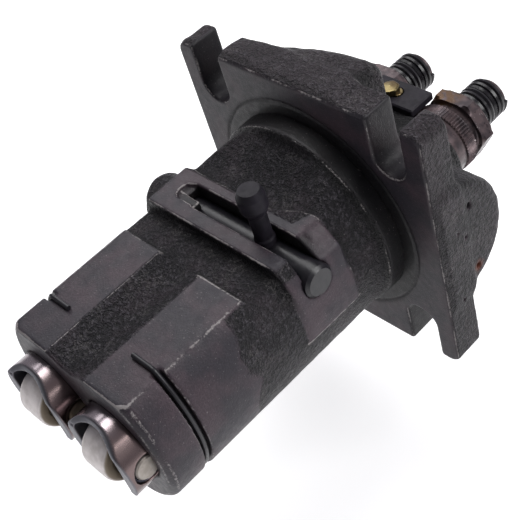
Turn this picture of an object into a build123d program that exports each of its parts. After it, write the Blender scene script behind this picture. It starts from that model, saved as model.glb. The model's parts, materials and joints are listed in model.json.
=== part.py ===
"""Twin-cylinder flange-mounted diesel injection pump, in millimetres.

Frame: origin at the centre of the pilot spigot, in the plane of the mounting face. +Y runs along the
plungers towards the fuel outlets, the tappets face -Y, +X runs across the two cylinders and +Z points
to the side that carries the control rack.
"""

from build123d import *
import math
import os

os.makedirs("parts", exist_ok=True)

# ---------------------------------------------------------------- driving dimensions
CYL_X = 13.2                     # each plunger axis from the centre plane
CYLINDERS = ((1, CYL_X), (2, -CYL_X))

# mounting flange
FLANGE_X, FLANGE_Z, FLANGE_T = 85.0, 82.4, 9.8
SLOT_X, SLOT_Z, SLOT_R = 31.1, 29.3, 5.0
PILOT_R, PILOT_L = 30.0, 5.8

# lower body that carries the tappets
BODY_R, BODY_END = 29.1, -84.0
BODY_CHAMFER = 3.0
PAD_Z, PAD_INNER_X, PAD_START = 18.7, 7.5, -45.8
CHANNEL_DEPTH = 2.2
CAST_Z = PAD_Z - 1.8

# clearances
RUNNING = 0.05                   # radial clearance of a sliding fit
CLOSE = 0.02                     # radial clearance of a lapped fit
GAP = 0.2                        # clearance of a loose piece

# rack teeth and sleeve pinions
MODULE, TEETH = 1.0, 16
PITCH_R = MODULE * TEETH / 2
PITCH_Z = PITCH_R
BACKLASH = 0.16

# control rack
RACK_Y, RACK_R = -27.5, 4.5
RACK_Z = PITCH_Z + RACK_R - 0.5
RACK_X0, RACK_X1, RACK_TRAVEL = -20.2, 29.5, 4.5
RACK_PIN_X, RACK_PIN_R, RACK_HEAD_R, RACK_PIN_TOP = 12.0, 2.8, 3.7, 34.5
RACK_PIN_ROOT, RACK_PIN_NECK = 2.0, 2.45

# rack guide block
BLOCK_Y0, BLOCK_Y1, BLOCK_R, BLOCK_X = RACK_Y - 8.2, RACK_Y + 6.2, 31.3, 28.3
BLOCK_Z = RACK_Z + RACK_R + 3.8
CHEEK_Y1, CHEEK_X, RAIL_X, RAIL_DROP = BLOCK_Y1 + 3.8, 6.0, 20.5, 0.75
WINDOW_Y0, WINDOW_Y1, WINDOW_X = RACK_Y - 3.6, RACK_Y + 3.0, -11.5
BLIND_R, BLIND_X = RACK_R + 2.1, RACK_X0 - 11.0

# bores on each plunger axis, from the tappet end
TAPPET_BORE_R, TAPPET_BORE_TOP = 12.0, -37.0
CHAMBER_R = PITCH_R + MODULE + 0.6
CHAMBER_TOP = RACK_Y + 7.5

# tappets: all heights follow the end of the body
TAPPET_R = TAPPET_BORE_R - RUNNING
TAPPET_LIFT = 7.0
ROLLER_OUT, ROLLER_R, ROLLER_W = 1.5, 8.0, 9.2
ROLLER_Y = BODY_END - ROLLER_OUT
BUSH_R, PIN_R = 5.0, 3.5
PIN_SHORT = 0.55
TAPPET_SKIRT, TAPPET_H = 5.3, 28.8
TAPPET_END = ROLLER_Y - TAPPET_SKIRT
TAPPET_TOP = TAPPET_END + TAPPET_H
POCKET_X = ROLLER_W + 2 * GAP
POCKET_R = TAPPET_R - 2.45
POCKET_TOP = ROLLER_Y + ROLLER_R + 1.0
WEB_T = 4.5
WEB_TOP = POCKET_TOP + WEB_T
CAVITY_R = TAPPET_R - 2.35
GUIDE_Y, GUIDE_R, GUIDE_GAP = TAPPET_TOP - 10.0, 2.0, 0.1
GROOVE_DEPTH = 1.6
SHIM_T = 1.5

# pumping elements
PLUNGER_R = 3.0
PLUNGER_Y0, PLUNGER_Y1 = WEB_TOP + SHIM_T, 10.5
FOOT_R, FOOT_T = 4.5, 1.9
SHIM_R = FOOT_R + 0.5
BARREL_TAIL_R, BARREL_R, BARREL_HEAD_R = 5.5, 7.0, 8.5
BARREL_Y0, BARREL_SEAT, BARREL_TOP = TAPPET_BORE_TOP - 1.0, 5.0, 19.0
PORT_Y = PLUNGER_Y1 + 3.0
GALLERY_R, GALLERY_H = 10.5, 8.0
GALLERY_Y0, GALLERY_Y1 = PORT_Y - GALLERY_H / 2, PORT_Y + GALLERY_H / 2
BARREL_PIN_Y, BARREL_PIN_R = CHAMBER_TOP + 8.0, 2.0

# control sleeves
SLEEVE_IN_R, SLEEVE_OUT_R = BARREL_TAIL_R + 0.06, BARREL_TAIL_R + 1.25
VANE_T, VANE_H, VANE_UP = 3.0, 3.0, 20.5
VANE_Y0 = PLUNGER_Y0 + VANE_UP
VANE_Y1 = VANE_Y0 + VANE_H
SLEEVE_Y0, SLEEVE_Y1, PINION_Y0 = VANE_Y0 - 2.0, CHAMBER_TOP - 2.8, RACK_Y - 4.5

# plunger springs and their seats
SEAT_T, SEAT_COLLAR_R, SEAT_COLLAR_T, UPPER_SEAT_T = 2.4, 6.8, 3.0, 1.6
SPRING_WIRE, SPRING_TURNS = 1.15, 5.07
SPRING_R = SEAT_COLLAR_R + SPRING_WIRE + GAP
SPRING_Y0 = WEB_TOP + SEAT_T + SPRING_WIRE + 0.1
SPRING_Y1 = TAPPET_BORE_TOP - UPPER_SEAT_T - SPRING_WIRE - GAP

# delivery valves and their holders
HOLDER_BORE_R = BARREL_HEAD_R + 0.6
HOLDER_R = HOLDER_BORE_R + 0.7
SKIRT_R = HOLDER_BORE_R - 0.12
BOSS_R, BOSS_TOP = 12.2, 31.0
SEAT_FLANGE_R, SEAT_FLANGE_T, SEAT_NECK_R = BARREL_HEAD_R + GAP, 3.5, 5.4
SEAT_TOP = BARREL_TOP + 9.0
VALVE_R = 3.0
GASKET_T = 0.8
HOLDER_Y0 = BARREL_TOP + SEAT_FLANGE_T + GASKET_T
RING_R, RING_Y = 0.56, BOSS_TOP - 1.6
COLLAR_R, COLLAR_Y0, COLLAR_Y1 = HOLDER_R + 0.5, BOSS_TOP + 5.0, BOSS_TOP + 9.4
HEX_AF, HEX_Y0, HEX_Y1 = 19.0, COLLAR_Y1 + 2.1, COLLAR_Y1 + 6.6
OUTLET_R, OUTLET_Y1 = 6.0, HEX_Y1 + 12.3

# lock plate over the two collars
PLATE_X, PLATE_Y0, PLATE_Y1, PLATE_T = 18.0, BOSS_TOP + 0.6, COLLAR_Y1 + 0.6, 2.2
SCREW_Y, SCREW_HEAD_R, SCREW_HEAD_T, SCREW_R = COLLAR_Y0 + 0.2, 3.1, 1.9, 1.9
WEB_Z1 = 10.4
PLATE_Z0 = WEB_Z1 + 0.1

# guide pin clip
CLIP_Y, CLIP_R, CLIP_WIRE_R = GUIDE_Y, BODY_R - 1.1, 0.65
CLIP_GROOVE_R, CLIP_GROOVE_W = CLIP_R - CLIP_WIRE_R - 0.05, 4 * CLIP_WIRE_R
CLIP_END_X, CLIP_BEND_R = 12.8, 1.6
# the pins end just inside the wire where it crosses their outer edges
GUIDE_OUT = GAP - math.sqrt((CLIP_R - CLIP_WIRE_R) ** 2 - (CYL_X + GUIDE_R) ** 2)

# fuel inlet on the -X lobe
INLET_Y, INLET_R, INLET_L, INLET_BOSS_R = PORT_Y, 5.19, 13.0, 8.6
INLET_FACE_X = -FLANGE_X / 2 - 1.1

# rounded ribs of the upper housing: one along the two cylinders, one square to it
RIB_X, RIB_X_R, RIB_X_Y = 42.0, 18.3, 5.7
RIB_Z0, RIB_Z1, RIB_Z_R, RIB_Z_Y = -38.0, 40.6, 14.0, 6.0


def across(x, y):
    """Sketch plane square to a plunger axis, at height y, with local x = +X and local y = +Z."""
    return Plane(origin=(x, y, 0), x_dir=(1, 0, 0), z_dir=(0, -1, 0))


def half_section(x):
    """Sketch plane through a plunger axis, with local x = radius (+X) and local y = +Y."""
    return Plane(origin=(x, 0, 0), x_dir=(1, 0, 0), z_dir=(0, 0, 1))


# ---------------------------------------------------------------- pump housing
with BuildPart() as pump_housing:
    # round lower body with a chamfered end
    with BuildSketch(across(0, BODY_END)):
        Circle(BODY_R)
    extrude(amount=BODY_END - 4.0)
    chamfer(pump_housing.edges().sort_by(Axis.Y)[0], BODY_CHAMFER)

    # flattened rack side: two machined pads, a cast channel and a lower cast level behind them
    with BuildSketch(Plane.YZ.offset(-40)):
        with BuildLine():
            Polyline(
                (BODY_END - 1, PAD_Z), (PAD_START, PAD_Z), (PAD_START + 1.2, CAST_Z),
                (BLOCK_Y0 + 1, CAST_Z), (BLOCK_Y0 + 1, BLOCK_Z), (BLOCK_Y1, BLOCK_Z),
                (BLOCK_Y1, 40), (BODY_END - 1, 40), (BODY_END - 1, PAD_Z),
            )
        make_face()
    extrude(amount=80, mode=Mode.SUBTRACT)
    with BuildSketch(across(0, BODY_END - 1)):
        with BuildLine():
            Polyline((PAD_INNER_X, PAD_Z + 3), (-PAD_INNER_X, PAD_Z + 3), (-PAD_INNER_X, PAD_Z))
            ThreePointArc(
                (-PAD_INNER_X, PAD_Z), (0, PAD_Z - CHANNEL_DEPTH), (PAD_INNER_X, PAD_Z))
            Line((PAD_INNER_X, PAD_Z), (PAD_INNER_X, PAD_Z + 3))
        make_face()
    extrude(amount=-(BLOCK_Y0 - BODY_END + 0.5), mode=Mode.SUBTRACT)

    # rack side behind the block: the casting dips and then sweeps up to the spigot
    with BuildSketch(Plane.YZ.offset(-40)):
        with BuildLine():
            Line((BLOCK_Y1, 40), (BLOCK_Y1, BLOCK_Z - 0.8))
            ThreePointArc((BLOCK_Y1, BLOCK_Z - 0.8), (-12.5, 21.0), (-PILOT_L, 26.4))
            Polyline((-PILOT_L, 26.4), (-PILOT_L, 40), (BLOCK_Y1, 40))
        make_face()
    extrude(amount=80, mode=Mode.SUBTRACT)

    # rack guide block
    with BuildSketch(across(0, BLOCK_Y0)):
        Circle(BLOCK_R)
        Rectangle(2 * BLOCK_X, BLOCK_Z, align=(Align.CENTER, Align.MIN), mode=Mode.INTERSECT)
    extrude(amount=BLOCK_Y0 - BLOCK_Y1)
    with BuildSketch(across(0, BLOCK_Y0)):
        with Locations((BLOCK_X - 6, 2.3)):
            Rectangle(12, 10)
    extrude(amount=BLOCK_Y0 - CHEEK_Y1)
    with BuildSketch(across(0, BLOCK_Y1 - 1)):
        Circle(BLOCK_R - 1.0)
        with Locations((BLOCK_X, 0)):
            Rectangle(CHEEK_X, BLOCK_Z, align=(Align.MAX, Align.MIN), mode=Mode.INTERSECT)
    extrude(amount=BLOCK_Y1 - 1 - CHEEK_Y1)
    # the rail behind the window falls away towards the open end
    with BuildSketch(across(0, WINDOW_Y1)):
        with BuildLine():
            Polyline((RAIL_X, BLOCK_Z), (RAIL_X, BLOCK_Z + 8), (BLOCK_R + 2, BLOCK_Z + 8),
                     (BLOCK_R + 2, BLOCK_Z - RAIL_DROP * (BLOCK_R + 2 - RAIL_X)), (RAIL_X, BLOCK_Z))
        make_face()
    extrude(amount=WINDOW_Y1 - CHEEK_Y1, mode=Mode.SUBTRACT)
    # blind end of the rack bore
    with BuildSketch(Plane(origin=(BLIND_X, RACK_Y, RACK_Z), x_dir=(0, 1, 0), z_dir=(1, 0, 0))):
        Circle(BLIND_R)
    extrude(amount=-BLIND_X - 19.2)

    # pilot spigot and mounting flange
    with BuildSketch(across(0, -PILOT_L)):
        Circle(PILOT_R)
    extrude(amount=-PILOT_L - 1)
    with BuildSketch(across(0, 0)):
        RectangleRounded(FLANGE_X, FLANGE_Z, 3.5)
    extrude(amount=-FLANGE_T)

    # rounded ribs behind the flange, clear of the four fixing slots
    with BuildSketch(Plane.YZ.offset(-RIB_X)):
        with Locations((RIB_X_Y, 0)):
            Circle(RIB_X_R)
        with Locations((3 - 25, 0)):
            Rectangle(50, 60, mode=Mode.SUBTRACT)
    extrude(amount=2 * RIB_X)
    with BuildSketch(Plane.XY.offset(RIB_Z0)):
        with Locations((0, RIB_Z_Y)):
            Circle(RIB_Z_R)
        with Locations((0, 3 - 25)):
            Rectangle(60, 50, mode=Mode.SUBTRACT)
    extrude(amount=RIB_Z1 - RIB_Z0)
    fillet(
        pump_housing.edges().filter_by(GeomType.CIRCLE).filter_by(
            lambda e: abs(abs(e.center().X) - RIB_X) < 0.01 and e.center().Y > FLANGE_T), 2.5)
    fillet(
        pump_housing.edges().filter_by(GeomType.CIRCLE).filter_by(
            lambda e: (abs(e.center().Z - RIB_Z0) < 0.01 or abs(e.center().Z - RIB_Z1) < 0.01)
            and e.center().Y > FLANGE_T), 4.0)

    # bosses of the two delivery valve holders
    with BuildSketch(across(0, 6)):
        with Locations((CYL_X, 0), (-CYL_X, 0)):
            Circle(BOSS_R)
        Rectangle(2 * CYL_X, 2 * BOSS_R - 3)
    extrude(amount=-(BOSS_TOP - 6))
    with BuildSketch(across(0, BOSS_TOP - 1)):
        with Locations((0, WEB_Z1)):
            Rectangle(13.0, 10.8, align=(Align.CENTER, Align.MAX))
        with Locations((CYL_X, 0), (-CYL_X, 0)):
            Circle(COLLAR_R + 0.5, mode=Mode.SUBTRACT)
    extrude(amount=-(COLLAR_Y1 - BOSS_TOP + 1))

    # spot face of the fuel inlet
    with BuildSketch(Plane(origin=(INLET_FACE_X, INLET_Y, 0), x_dir=(0, 1, 0), z_dir=(1, 0, 0))):
        Circle(INLET_BOSS_R)
    extrude(amount=12)

    # stepped bores of each cylinder
    for _, x in CYLINDERS:
        with BuildSketch(half_section(x)):
            with BuildLine():
                Polyline(
                    (0, BODY_END - 1), (TAPPET_BORE_R, BODY_END - 1),
                    (TAPPET_BORE_R, TAPPET_BORE_TOP), (CHAMBER_R, TAPPET_BORE_TOP),
                    (CHAMBER_R, CHAMBER_TOP), (BARREL_R + RUNNING, CHAMBER_TOP),
                    (BARREL_R + RUNNING, BARREL_SEAT), (BARREL_HEAD_R + RUNNING, BARREL_SEAT),
                    (BARREL_HEAD_R + RUNNING, GALLERY_Y0), (GALLERY_R, GALLERY_Y0),
                    (GALLERY_R, GALLERY_Y1), (HOLDER_BORE_R, GALLERY_Y1 + 1.0),
                    (HOLDER_BORE_R, BOSS_TOP + 0.0), (HOLDER_BORE_R + 0.5, BOSS_TOP + 0.5),
                    (0, BOSS_TOP + 0.5), (0, BODY_END - 1),
                )
            make_face()
        revolve(axis=Axis((x, 0, 0), (0, 1, 0)), mode=Mode.SUBTRACT)

    # fuel gallery joining the inlet to both cylinders
    with BuildSketch(Plane(origin=(INLET_FACE_X - 1, INLET_Y, 0), x_dir=(0, 1, 0), z_dir=(1, 0, 0))):
        Circle(INLET_R)
    extrude(amount=INLET_L + 1, mode=Mode.SUBTRACT)
    with BuildSketch(Plane(origin=(INLET_FACE_X, PORT_Y, 0), x_dir=(0, 1, 0), z_dir=(1, 0, 0))):
        Circle(2.5)
    extrude(amount=CYL_X - 4 - INLET_FACE_X, mode=Mode.SUBTRACT)

    # blind bore of the control rack, open to the right
    with BuildSketch(Plane(origin=(RACK_X0 - RACK_TRAVEL - 0.3, RACK_Y, RACK_Z),
                           x_dir=(0, 1, 0), z_dir=(1, 0, 0))):
        Circle(RACK_R + RUNNING)
    extrude(amount=60, mode=Mode.SUBTRACT)
    # window over the rack for its pin, with a shallow run-out at the closed end
    with BuildSketch(Plane(origin=(0, 0, RACK_Z), x_dir=(1, 0, 0), z_dir=(0, 0, 1))):
        with Locations(((WINDOW_X + 40) / 2, (WINDOW_Y0 + WINDOW_Y1) / 2)):
            Rectangle(40 - WINDOW_X, WINDOW_Y1 - WINDOW_Y0)
    extrude(amount=14, mode=Mode.SUBTRACT)
    with BuildSketch(Plane.XY.offset(BLOCK_Z - 0.8)):
        with Locations((WINDOW_X - 2.0, (WINDOW_Y0 + WINDOW_Y1) / 2)):
            SlotOverall(11.0, WINDOW_Y1 - WINDOW_Y0 - 0.6)
    extrude(amount=3, mode=Mode.SUBTRACT)

    # four open fixing slots
    with BuildSketch(across(0, -1)):
        with GridLocations(2 * SLOT_X, 2 * SLOT_Z, 2, 2):
            Circle(SLOT_R)
        with GridLocations(2 * SLOT_X, 2 * (SLOT_Z + 10), 2, 2):
            Rectangle(2 * SLOT_R, 20)
    extrude(amount=-(FLANGE_T + 3), mode=Mode.SUBTRACT)

    # clip groove, tappet guide pin holes, barrel pin holes and the lock screw hole
    with BuildSketch(across(0, CLIP_Y - CLIP_GROOVE_W / 2)):
        Circle(BODY_R + 3)
        Circle(CLIP_GROOVE_R, mode=Mode.SUBTRACT)
    extrude(amount=-CLIP_GROOVE_W, mode=Mode.SUBTRACT)
    with BuildSketch(Plane.XY.offset(-BODY_R - 2)):
        with Locations((CYL_X, GUIDE_Y), (-CYL_X, GUIDE_Y)):
            Circle(GUIDE_R + CLOSE)
    extrude(amount=BODY_R + 2, mode=Mode.SUBTRACT)
    with BuildSketch(Plane.XY.offset(-BODY_R - 2)):
        with Locations((CYL_X, BARREL_PIN_Y), (-CYL_X, BARREL_PIN_Y)):
            Circle(BARREL_PIN_R + CLOSE)
    extrude(amount=BODY_R + 2 - BARREL_R + 2, mode=Mode.SUBTRACT)
    with BuildSketch(Plane.XY.offset(4.0)):
        with Locations((0, SCREW_Y)):
            Circle(SCREW_R + 0.05)
    extrude(amount=8, mode=Mode.SUBTRACT)
pump_housing.part.label = "pump_housing"
export_step(pump_housing.part, "parts/pump_housing.step")

# ---------------------------------------------------------------- roller tappets
for n, x in CYLINDERS:
    with BuildPart() as tappet_body:
        with BuildSketch(half_section(x)):
            with BuildLine():
                Polyline(
                    (0, TAPPET_END), (TAPPET_R - 0.8, TAPPET_END), (TAPPET_R, TAPPET_END + 0.8),
                    (TAPPET_R, TAPPET_TOP - 0.6), (TAPPET_R - 0.6, TAPPET_TOP),
                    (CAVITY_R, TAPPET_TOP), (CAVITY_R, WEB_TOP), (0, WEB_TOP), (0, TAPPET_END),
                )
            make_face()
        revolve(axis=Axis((x, 0, 0), (0, 1, 0)))
        # the end falls away towards the cam's run-in and run-out sides
        with BuildSketch(Plane.YZ.offset(x - 15)):
            with BuildLine():
                Line((TAPPET_END - 2, 6.2), (TAPPET_END, 6.2))
                ThreePointArc((TAPPET_END, 6.2), (TAPPET_END + 0.55, 9.6), (TAPPET_END + 1.9, 12.2))
                Polyline((TAPPET_END + 1.9, 12.2), (TAPPET_END + 1.9, 14), (TAPPET_END - 2, 14),
                         (TAPPET_END - 2, 6.2))
            make_face()
            mirror(about=Plane.XZ)
        extrude(amount=30, mode=Mode.SUBTRACT)
        # roller pocket
        with BuildSketch(across(x, TAPPET_END - 1)):
            Circle(POCKET_R)
            Rectangle(POCKET_X, 2 * POCKET_R, mode=Mode.INTERSECT)
        extrude(amount=-(POCKET_TOP - TAPPET_END + 1), mode=Mode.SUBTRACT)
        # cross hole of the roller pin
        with BuildSketch(Plane(origin=(x - 15, ROLLER_Y, 0), x_dir=(0, 1, 0), z_dir=(1, 0, 0))):
            Circle(PIN_R + 0.01)
        extrude(amount=30, mode=Mode.SUBTRACT)
        # guide groove on the far side from the rack
        with BuildSketch(Plane(origin=(x, GUIDE_Y, -15), x_dir=(0, 1, 0), z_dir=(0, 0, 1))):
            with Locations((-TAPPET_LIFT / 2, 0)):
                SlotOverall(TAPPET_LIFT + 2 * GUIDE_R + 0.6, 2 * (GUIDE_R + GUIDE_GAP))
        extrude(amount=15 - TAPPET_R + GROOVE_DEPTH, mode=Mode.SUBTRACT)
    tappet_body.part.label = f"tappet_body_{n}"
    export_step(tappet_body.part, f"parts/tappet_body_{n}.step")

    with BuildPart() as tappet_roller:
        with BuildSketch(Plane(origin=(x - ROLLER_W / 2, ROLLER_Y, 0), x_dir=(0, 1, 0),
                               z_dir=(1, 0, 0))):
            Circle(ROLLER_R)
            Circle(BUSH_R + RUNNING, mode=Mode.SUBTRACT)
        extrude(amount=ROLLER_W)
        outer = tappet_roller.edges().filter_by(GeomType.CIRCLE).group_by(SortBy.RADIUS)[-1]
        chamfer(outer, 0.6)
    tappet_roller.part.label = f"tappet_roller_{n}"
    export_step(tappet_roller.part, f"parts/tappet_roller_{n}.step")

    with BuildPart() as roller_bush:
        with BuildSketch(Plane(origin=(x - ROLLER_W / 2, ROLLER_Y, 0), x_dir=(0, 1, 0),
                               z_dir=(1, 0, 0))):
            Circle(BUSH_R)
            Circle(PIN_R + RUNNING, mode=Mode.SUBTRACT)
        extrude(amount=ROLLER_W)
    roller_bush.part.label = f"roller_bush_{n}"
    export_step(roller_bush.part, f"parts/roller_bush_{n}.step")

    with BuildPart() as roller_pin:
        with BuildSketch(Plane(origin=(x - TAPPET_R + PIN_SHORT, ROLLER_Y, 0), x_dir=(0, 1, 0),
                               z_dir=(1, 0, 0))):
            Circle(PIN_R)
        extrude(amount=2 * (TAPPET_R - PIN_SHORT))
        chamfer(roller_pin.edges().filter_by(GeomType.CIRCLE), 0.4)
    roller_pin.part.label = f"roller_pin_{n}"
    export_step(roller_pin.part, f"parts/roller_pin_{n}.step")

    with BuildPart() as timing_shim:
        with BuildSketch(across(x, WEB_TOP)):
            Circle(SHIM_R)
        extrude(amount=-SHIM_T)
    timing_shim.part.label = f"timing_shim_{n}"
    export_step(timing_shim.part, f"parts/timing_shim_{n}.step")

    # lower spring seat: a collar on the web whose inner lip holds the plunger foot down
    with BuildPart() as lower_spring_seat:
        with BuildSketch(half_section(x)):
            with BuildLine():
                lip, top = PLUNGER_Y0 + FOOT_T + GAP, WEB_TOP + SEAT_T
                Polyline(
                    (SHIM_R + GAP, WEB_TOP), (CAVITY_R - GAP, WEB_TOP), (CAVITY_R - GAP, top),
                    (SEAT_COLLAR_R, top), (SEAT_COLLAR_R, top + SEAT_COLLAR_T),
                    (PLUNGER_R + 0.3, top + SEAT_COLLAR_T), (PLUNGER_R + 0.3, lip),
                    (SHIM_R + GAP, lip), (SHIM_R + GAP, WEB_TOP),
                )
            make_face()
        revolve(axis=Axis((x, 0, 0), (0, 1, 0)))
        with BuildSketch(across(x, lip)):
            with Locations((0, -5)):
                Rectangle(2 * (PLUNGER_R + 0.3), 10)
        extrude(amount=-SEAT_COLLAR_T - 0.5, mode=Mode.SUBTRACT)
    lower_spring_seat.part.label = f"lower_spring_seat_{n}"
    export_step(lower_spring_seat.part, f"parts/lower_spring_seat_{n}.step")

    with BuildPart() as plunger_spring:
        with BuildLine() as coil:
            Helix(pitch=(SPRING_Y1 - SPRING_Y0) / SPRING_TURNS, height=SPRING_Y1 - SPRING_Y0,
                  radius=SPRING_R, center=(x, SPRING_Y0, 0), direction=(0, 1, 0))
        with BuildSketch(Plane(origin=coil.line @ 0, z_dir=coil.line % 0)):
            Circle(SPRING_WIRE)
        sweep(path=coil.line, is_frenet=True)
    plunger_spring.part.label = f"plunger_spring_{n}"
    export_step(plunger_spring.part, f"parts/plunger_spring_{n}.step")

    with BuildPart() as upper_spring_seat:
        with BuildSketch(across(x, TAPPET_BORE_TOP - UPPER_SEAT_T)):
            Circle(TAPPET_R - GAP)
            Circle(SLEEVE_OUT_R + 0.1, mode=Mode.SUBTRACT)
        extrude(amount=-UPPER_SEAT_T)
    upper_spring_seat.part.label = f"upper_spring_seat_{n}"
    export_step(upper_spring_seat.part, f"parts/upper_spring_seat_{n}.step")

    # control sleeve: a slotted tube with the pinion at its upper end
    with BuildPart() as control_sleeve:
        with BuildSketch(across(x, SLEEVE_Y0)):
            Circle(SLEEVE_OUT_R)
        extrude(amount=SLEEVE_Y0 - SLEEVE_Y1)
        with BuildSketch(across(x, PINION_Y0)):
            with BuildLine():
                points = []
                for k in range(TEETH):
                    a0 = 360.0 / TEETH * k
                    root, tip = PITCH_R - 0.7 * MODULE, PITCH_R + 0.95 * MODULE
                    for radius, half in ((SLEEVE_OUT_R, -7.2), (root, -6.2), (PITCH_R, -4.95),
                                         (tip, -2.1), (tip, 2.1), (PITCH_R, 4.95), (root, 6.2),
                                         (SLEEVE_OUT_R, 7.2)):
                        a = math.radians(a0 + 360.0 / TEETH / 2 + half)
                        points.append((radius * math.sin(a), radius * math.cos(a)))
                Polyline(*points, close=True)
            make_face()
        extrude(amount=PINION_Y0 - SLEEVE_Y1)
        with BuildSketch(across(x, SLEEVE_Y0 - 1)):
            Circle(SLEEVE_IN_R)
        extrude(amount=-(SLEEVE_Y1 - SLEEVE_Y0 + 2), mode=Mode.SUBTRACT)
        with BuildSketch(across(x, SLEEVE_Y0 - 1)):
            Rectangle(20, VANE_T + 0.12)
        extrude(amount=-(1 + VANE_Y1 + TAPPET_LIFT + 1.0 - SLEEVE_Y0), mode=Mode.SUBTRACT)
    control_sleeve.part.label = f"control_sleeve_{n}"
    export_step(control_sleeve.part, f"parts/control_sleeve_{n}.step")

    # plunger: foot, stem, driving vane and the lapped head with its metering groove
    with BuildPart() as plunger:
        with BuildSketch(half_section(x)):
            with BuildLine():
                Polyline(
                    (0, PLUNGER_Y0), (FOOT_R, PLUNGER_Y0), (FOOT_R, PLUNGER_Y0 + FOOT_T),
                    (PLUNGER_R - 0.2, PLUNGER_Y0 + FOOT_T), (PLUNGER_R - 0.2, BARREL_Y0 - 2.0),
                    (PLUNGER_R, BARREL_Y0 - 1.5), (PLUNGER_R, PLUNGER_Y1 - 9.0),
                    (PLUNGER_R - 0.9, PLUNGER_Y1 - 9.0), (PLUNGER_R - 0.9, PLUNGER_Y1 - 6.0),
                    (PLUNGER_R, PLUNGER_Y1 - 6.0), (PLUNGER_R, PLUNGER_Y1),
                    (0, PLUNGER_Y1), (0, PLUNGER_Y0),
                )
            make_face()
        revolve(axis=Axis((x, 0, 0), (0, 1, 0)))
        with BuildSketch(across(x, VANE_Y0)):
            Rectangle(2 * SLEEVE_OUT_R - 0.6, VANE_T)
        extrude(amount=VANE_Y0 - VANE_Y1)
        with BuildSketch(across(x, PLUNGER_Y1 - 6.5)):
            with Locations((0, PLUNGER_R)):
                Rectangle(1.2, 2.4)
        extrude(amount=-8, mode=Mode.SUBTRACT)
    plunger.part.label = f"plunger_{n}"
    export_step(plunger.part, f"parts/plunger_{n}.step")

    with BuildPart() as pump_barrel:
        with BuildSketch(half_section(x)):
            with BuildLine():
                Polyline(
                    (PLUNGER_R + CLOSE, BARREL_Y0), (BARREL_TAIL_R, BARREL_Y0),
                    (BARREL_TAIL_R, CHAMBER_TOP - 2.2), (BARREL_R, CHAMBER_TOP - 2.2),
                    (BARREL_R, BARREL_SEAT), (BARREL_HEAD_R, BARREL_SEAT),
                    (BARREL_HEAD_R, BARREL_TOP), (PLUNGER_R + CLOSE, BARREL_TOP),
                    (PLUNGER_R + CLOSE, BARREL_Y0),
                )
            make_face()
        revolve(axis=Axis((x, 0, 0), (0, 1, 0)))
        with BuildSketch(Plane(origin=(x - 12, PORT_Y, 0), x_dir=(0, 1, 0), z_dir=(1, 0, 0))):
            Circle(1.3)
        extrude(amount=24, mode=Mode.SUBTRACT)
        with BuildSketch(Plane(origin=(x, BARREL_PIN_Y, 1.0 - BARREL_R), x_dir=(0, 1, 0), z_dir=(0, 0, -1))):
            SlotOverall(2 * BARREL_PIN_R + 1.0, 2 * BARREL_PIN_R + 0.1)
        extrude(amount=3, mode=Mode.SUBTRACT)
    pump_barrel.part.label = f"pump_barrel_{n}"
    export_step(pump_barrel.part, f"parts/pump_barrel_{n}.step")

    # delivery valve seat, its sealing ring, the fluted valve and its spring
    with BuildPart() as valve_seat:
        with BuildSketch(half_section(x)):
            with BuildLine():
                Polyline(
                    (VALVE_R, BARREL_TOP), (SEAT_FLANGE_R, BARREL_TOP),
                    (SEAT_FLANGE_R, BARREL_TOP + SEAT_FLANGE_T),
                    (SEAT_NECK_R, BARREL_TOP + SEAT_FLANGE_T), (SEAT_NECK_R, SEAT_TOP),
                    (VALVE_R + 1.0, SEAT_TOP), (VALVE_R, SEAT_TOP - 1.0), (VALVE_R, BARREL_TOP),
                )
            make_face()
        revolve(axis=Axis((x, 0, 0), (0, 1, 0)))
    valve_seat.part.label = f"valve_seat_{n}"
    export_step(valve_seat.part, f"parts/valve_seat_{n}.step")

    with BuildPart() as valve_gasket:
        with BuildSketch(across(x, BARREL_TOP + SEAT_FLANGE_T)):
            Circle(SEAT_FLANGE_R)
            Circle(SEAT_NECK_R + 0.1, mode=Mode.SUBTRACT)
        extrude(amount=-GASKET_T)
    valve_gasket.part.label = f"valve_gasket_{n}"
    export_step(valve_gasket.part, f"parts/valve_gasket_{n}.step")

    with BuildPart() as delivery_valve:
        with BuildSketch(half_section(x)):
            with BuildLine():
                Polyline(
                    (0, BARREL_TOP + 1.0), (VALVE_R - 0.04, BARREL_TOP + 1.0),
                    (VALVE_R - 0.04, SEAT_TOP - 1.0), (VALVE_R + 0.95, SEAT_TOP - 0.02),
                    (VALVE_R + 1.2, SEAT_TOP + 0.6), (VALVE_R + 1.2, SEAT_TOP + 2.0),
                    (1.9, SEAT_TOP + 2.0), (1.7, SEAT_TOP + 5.0), (0, SEAT_TOP + 5.0),
                    (0, BARREL_TOP + 1.0),
                )
            make_face()
        revolve(axis=Axis((x, 0, 0), (0, 1, 0)))
        with BuildSketch(across(x, BARREL_TOP + 0.5)):
            with PolarLocations(VALVE_R + 0.1, 4):
                Rectangle(2.6, 2.6)
        extrude(amount=-(SEAT_TOP - 3.5 - BARREL_TOP), mode=Mode.SUBTRACT)
    delivery_valve.part.label = f"delivery_valve_{n}"
    export_step(delivery_valve.part, f"parts/delivery_valve_{n}.step")

    with BuildPart() as valve_spring:
        with BuildLine() as coil:
            Helix(pitch=2.6, height=7.8, radius=2.9, center=(x, SEAT_TOP + 2.55, 0),
                  direction=(0, 1, 0))
        with BuildSketch(Plane(origin=coil.line @ 0, z_dir=coil.line % 0)):
            Circle(0.45)
        sweep(path=coil.line, is_frenet=True)
    valve_spring.part.label = f"valve_spring_{n}"
    export_step(valve_spring.part, f"parts/valve_spring_{n}.step")

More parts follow.
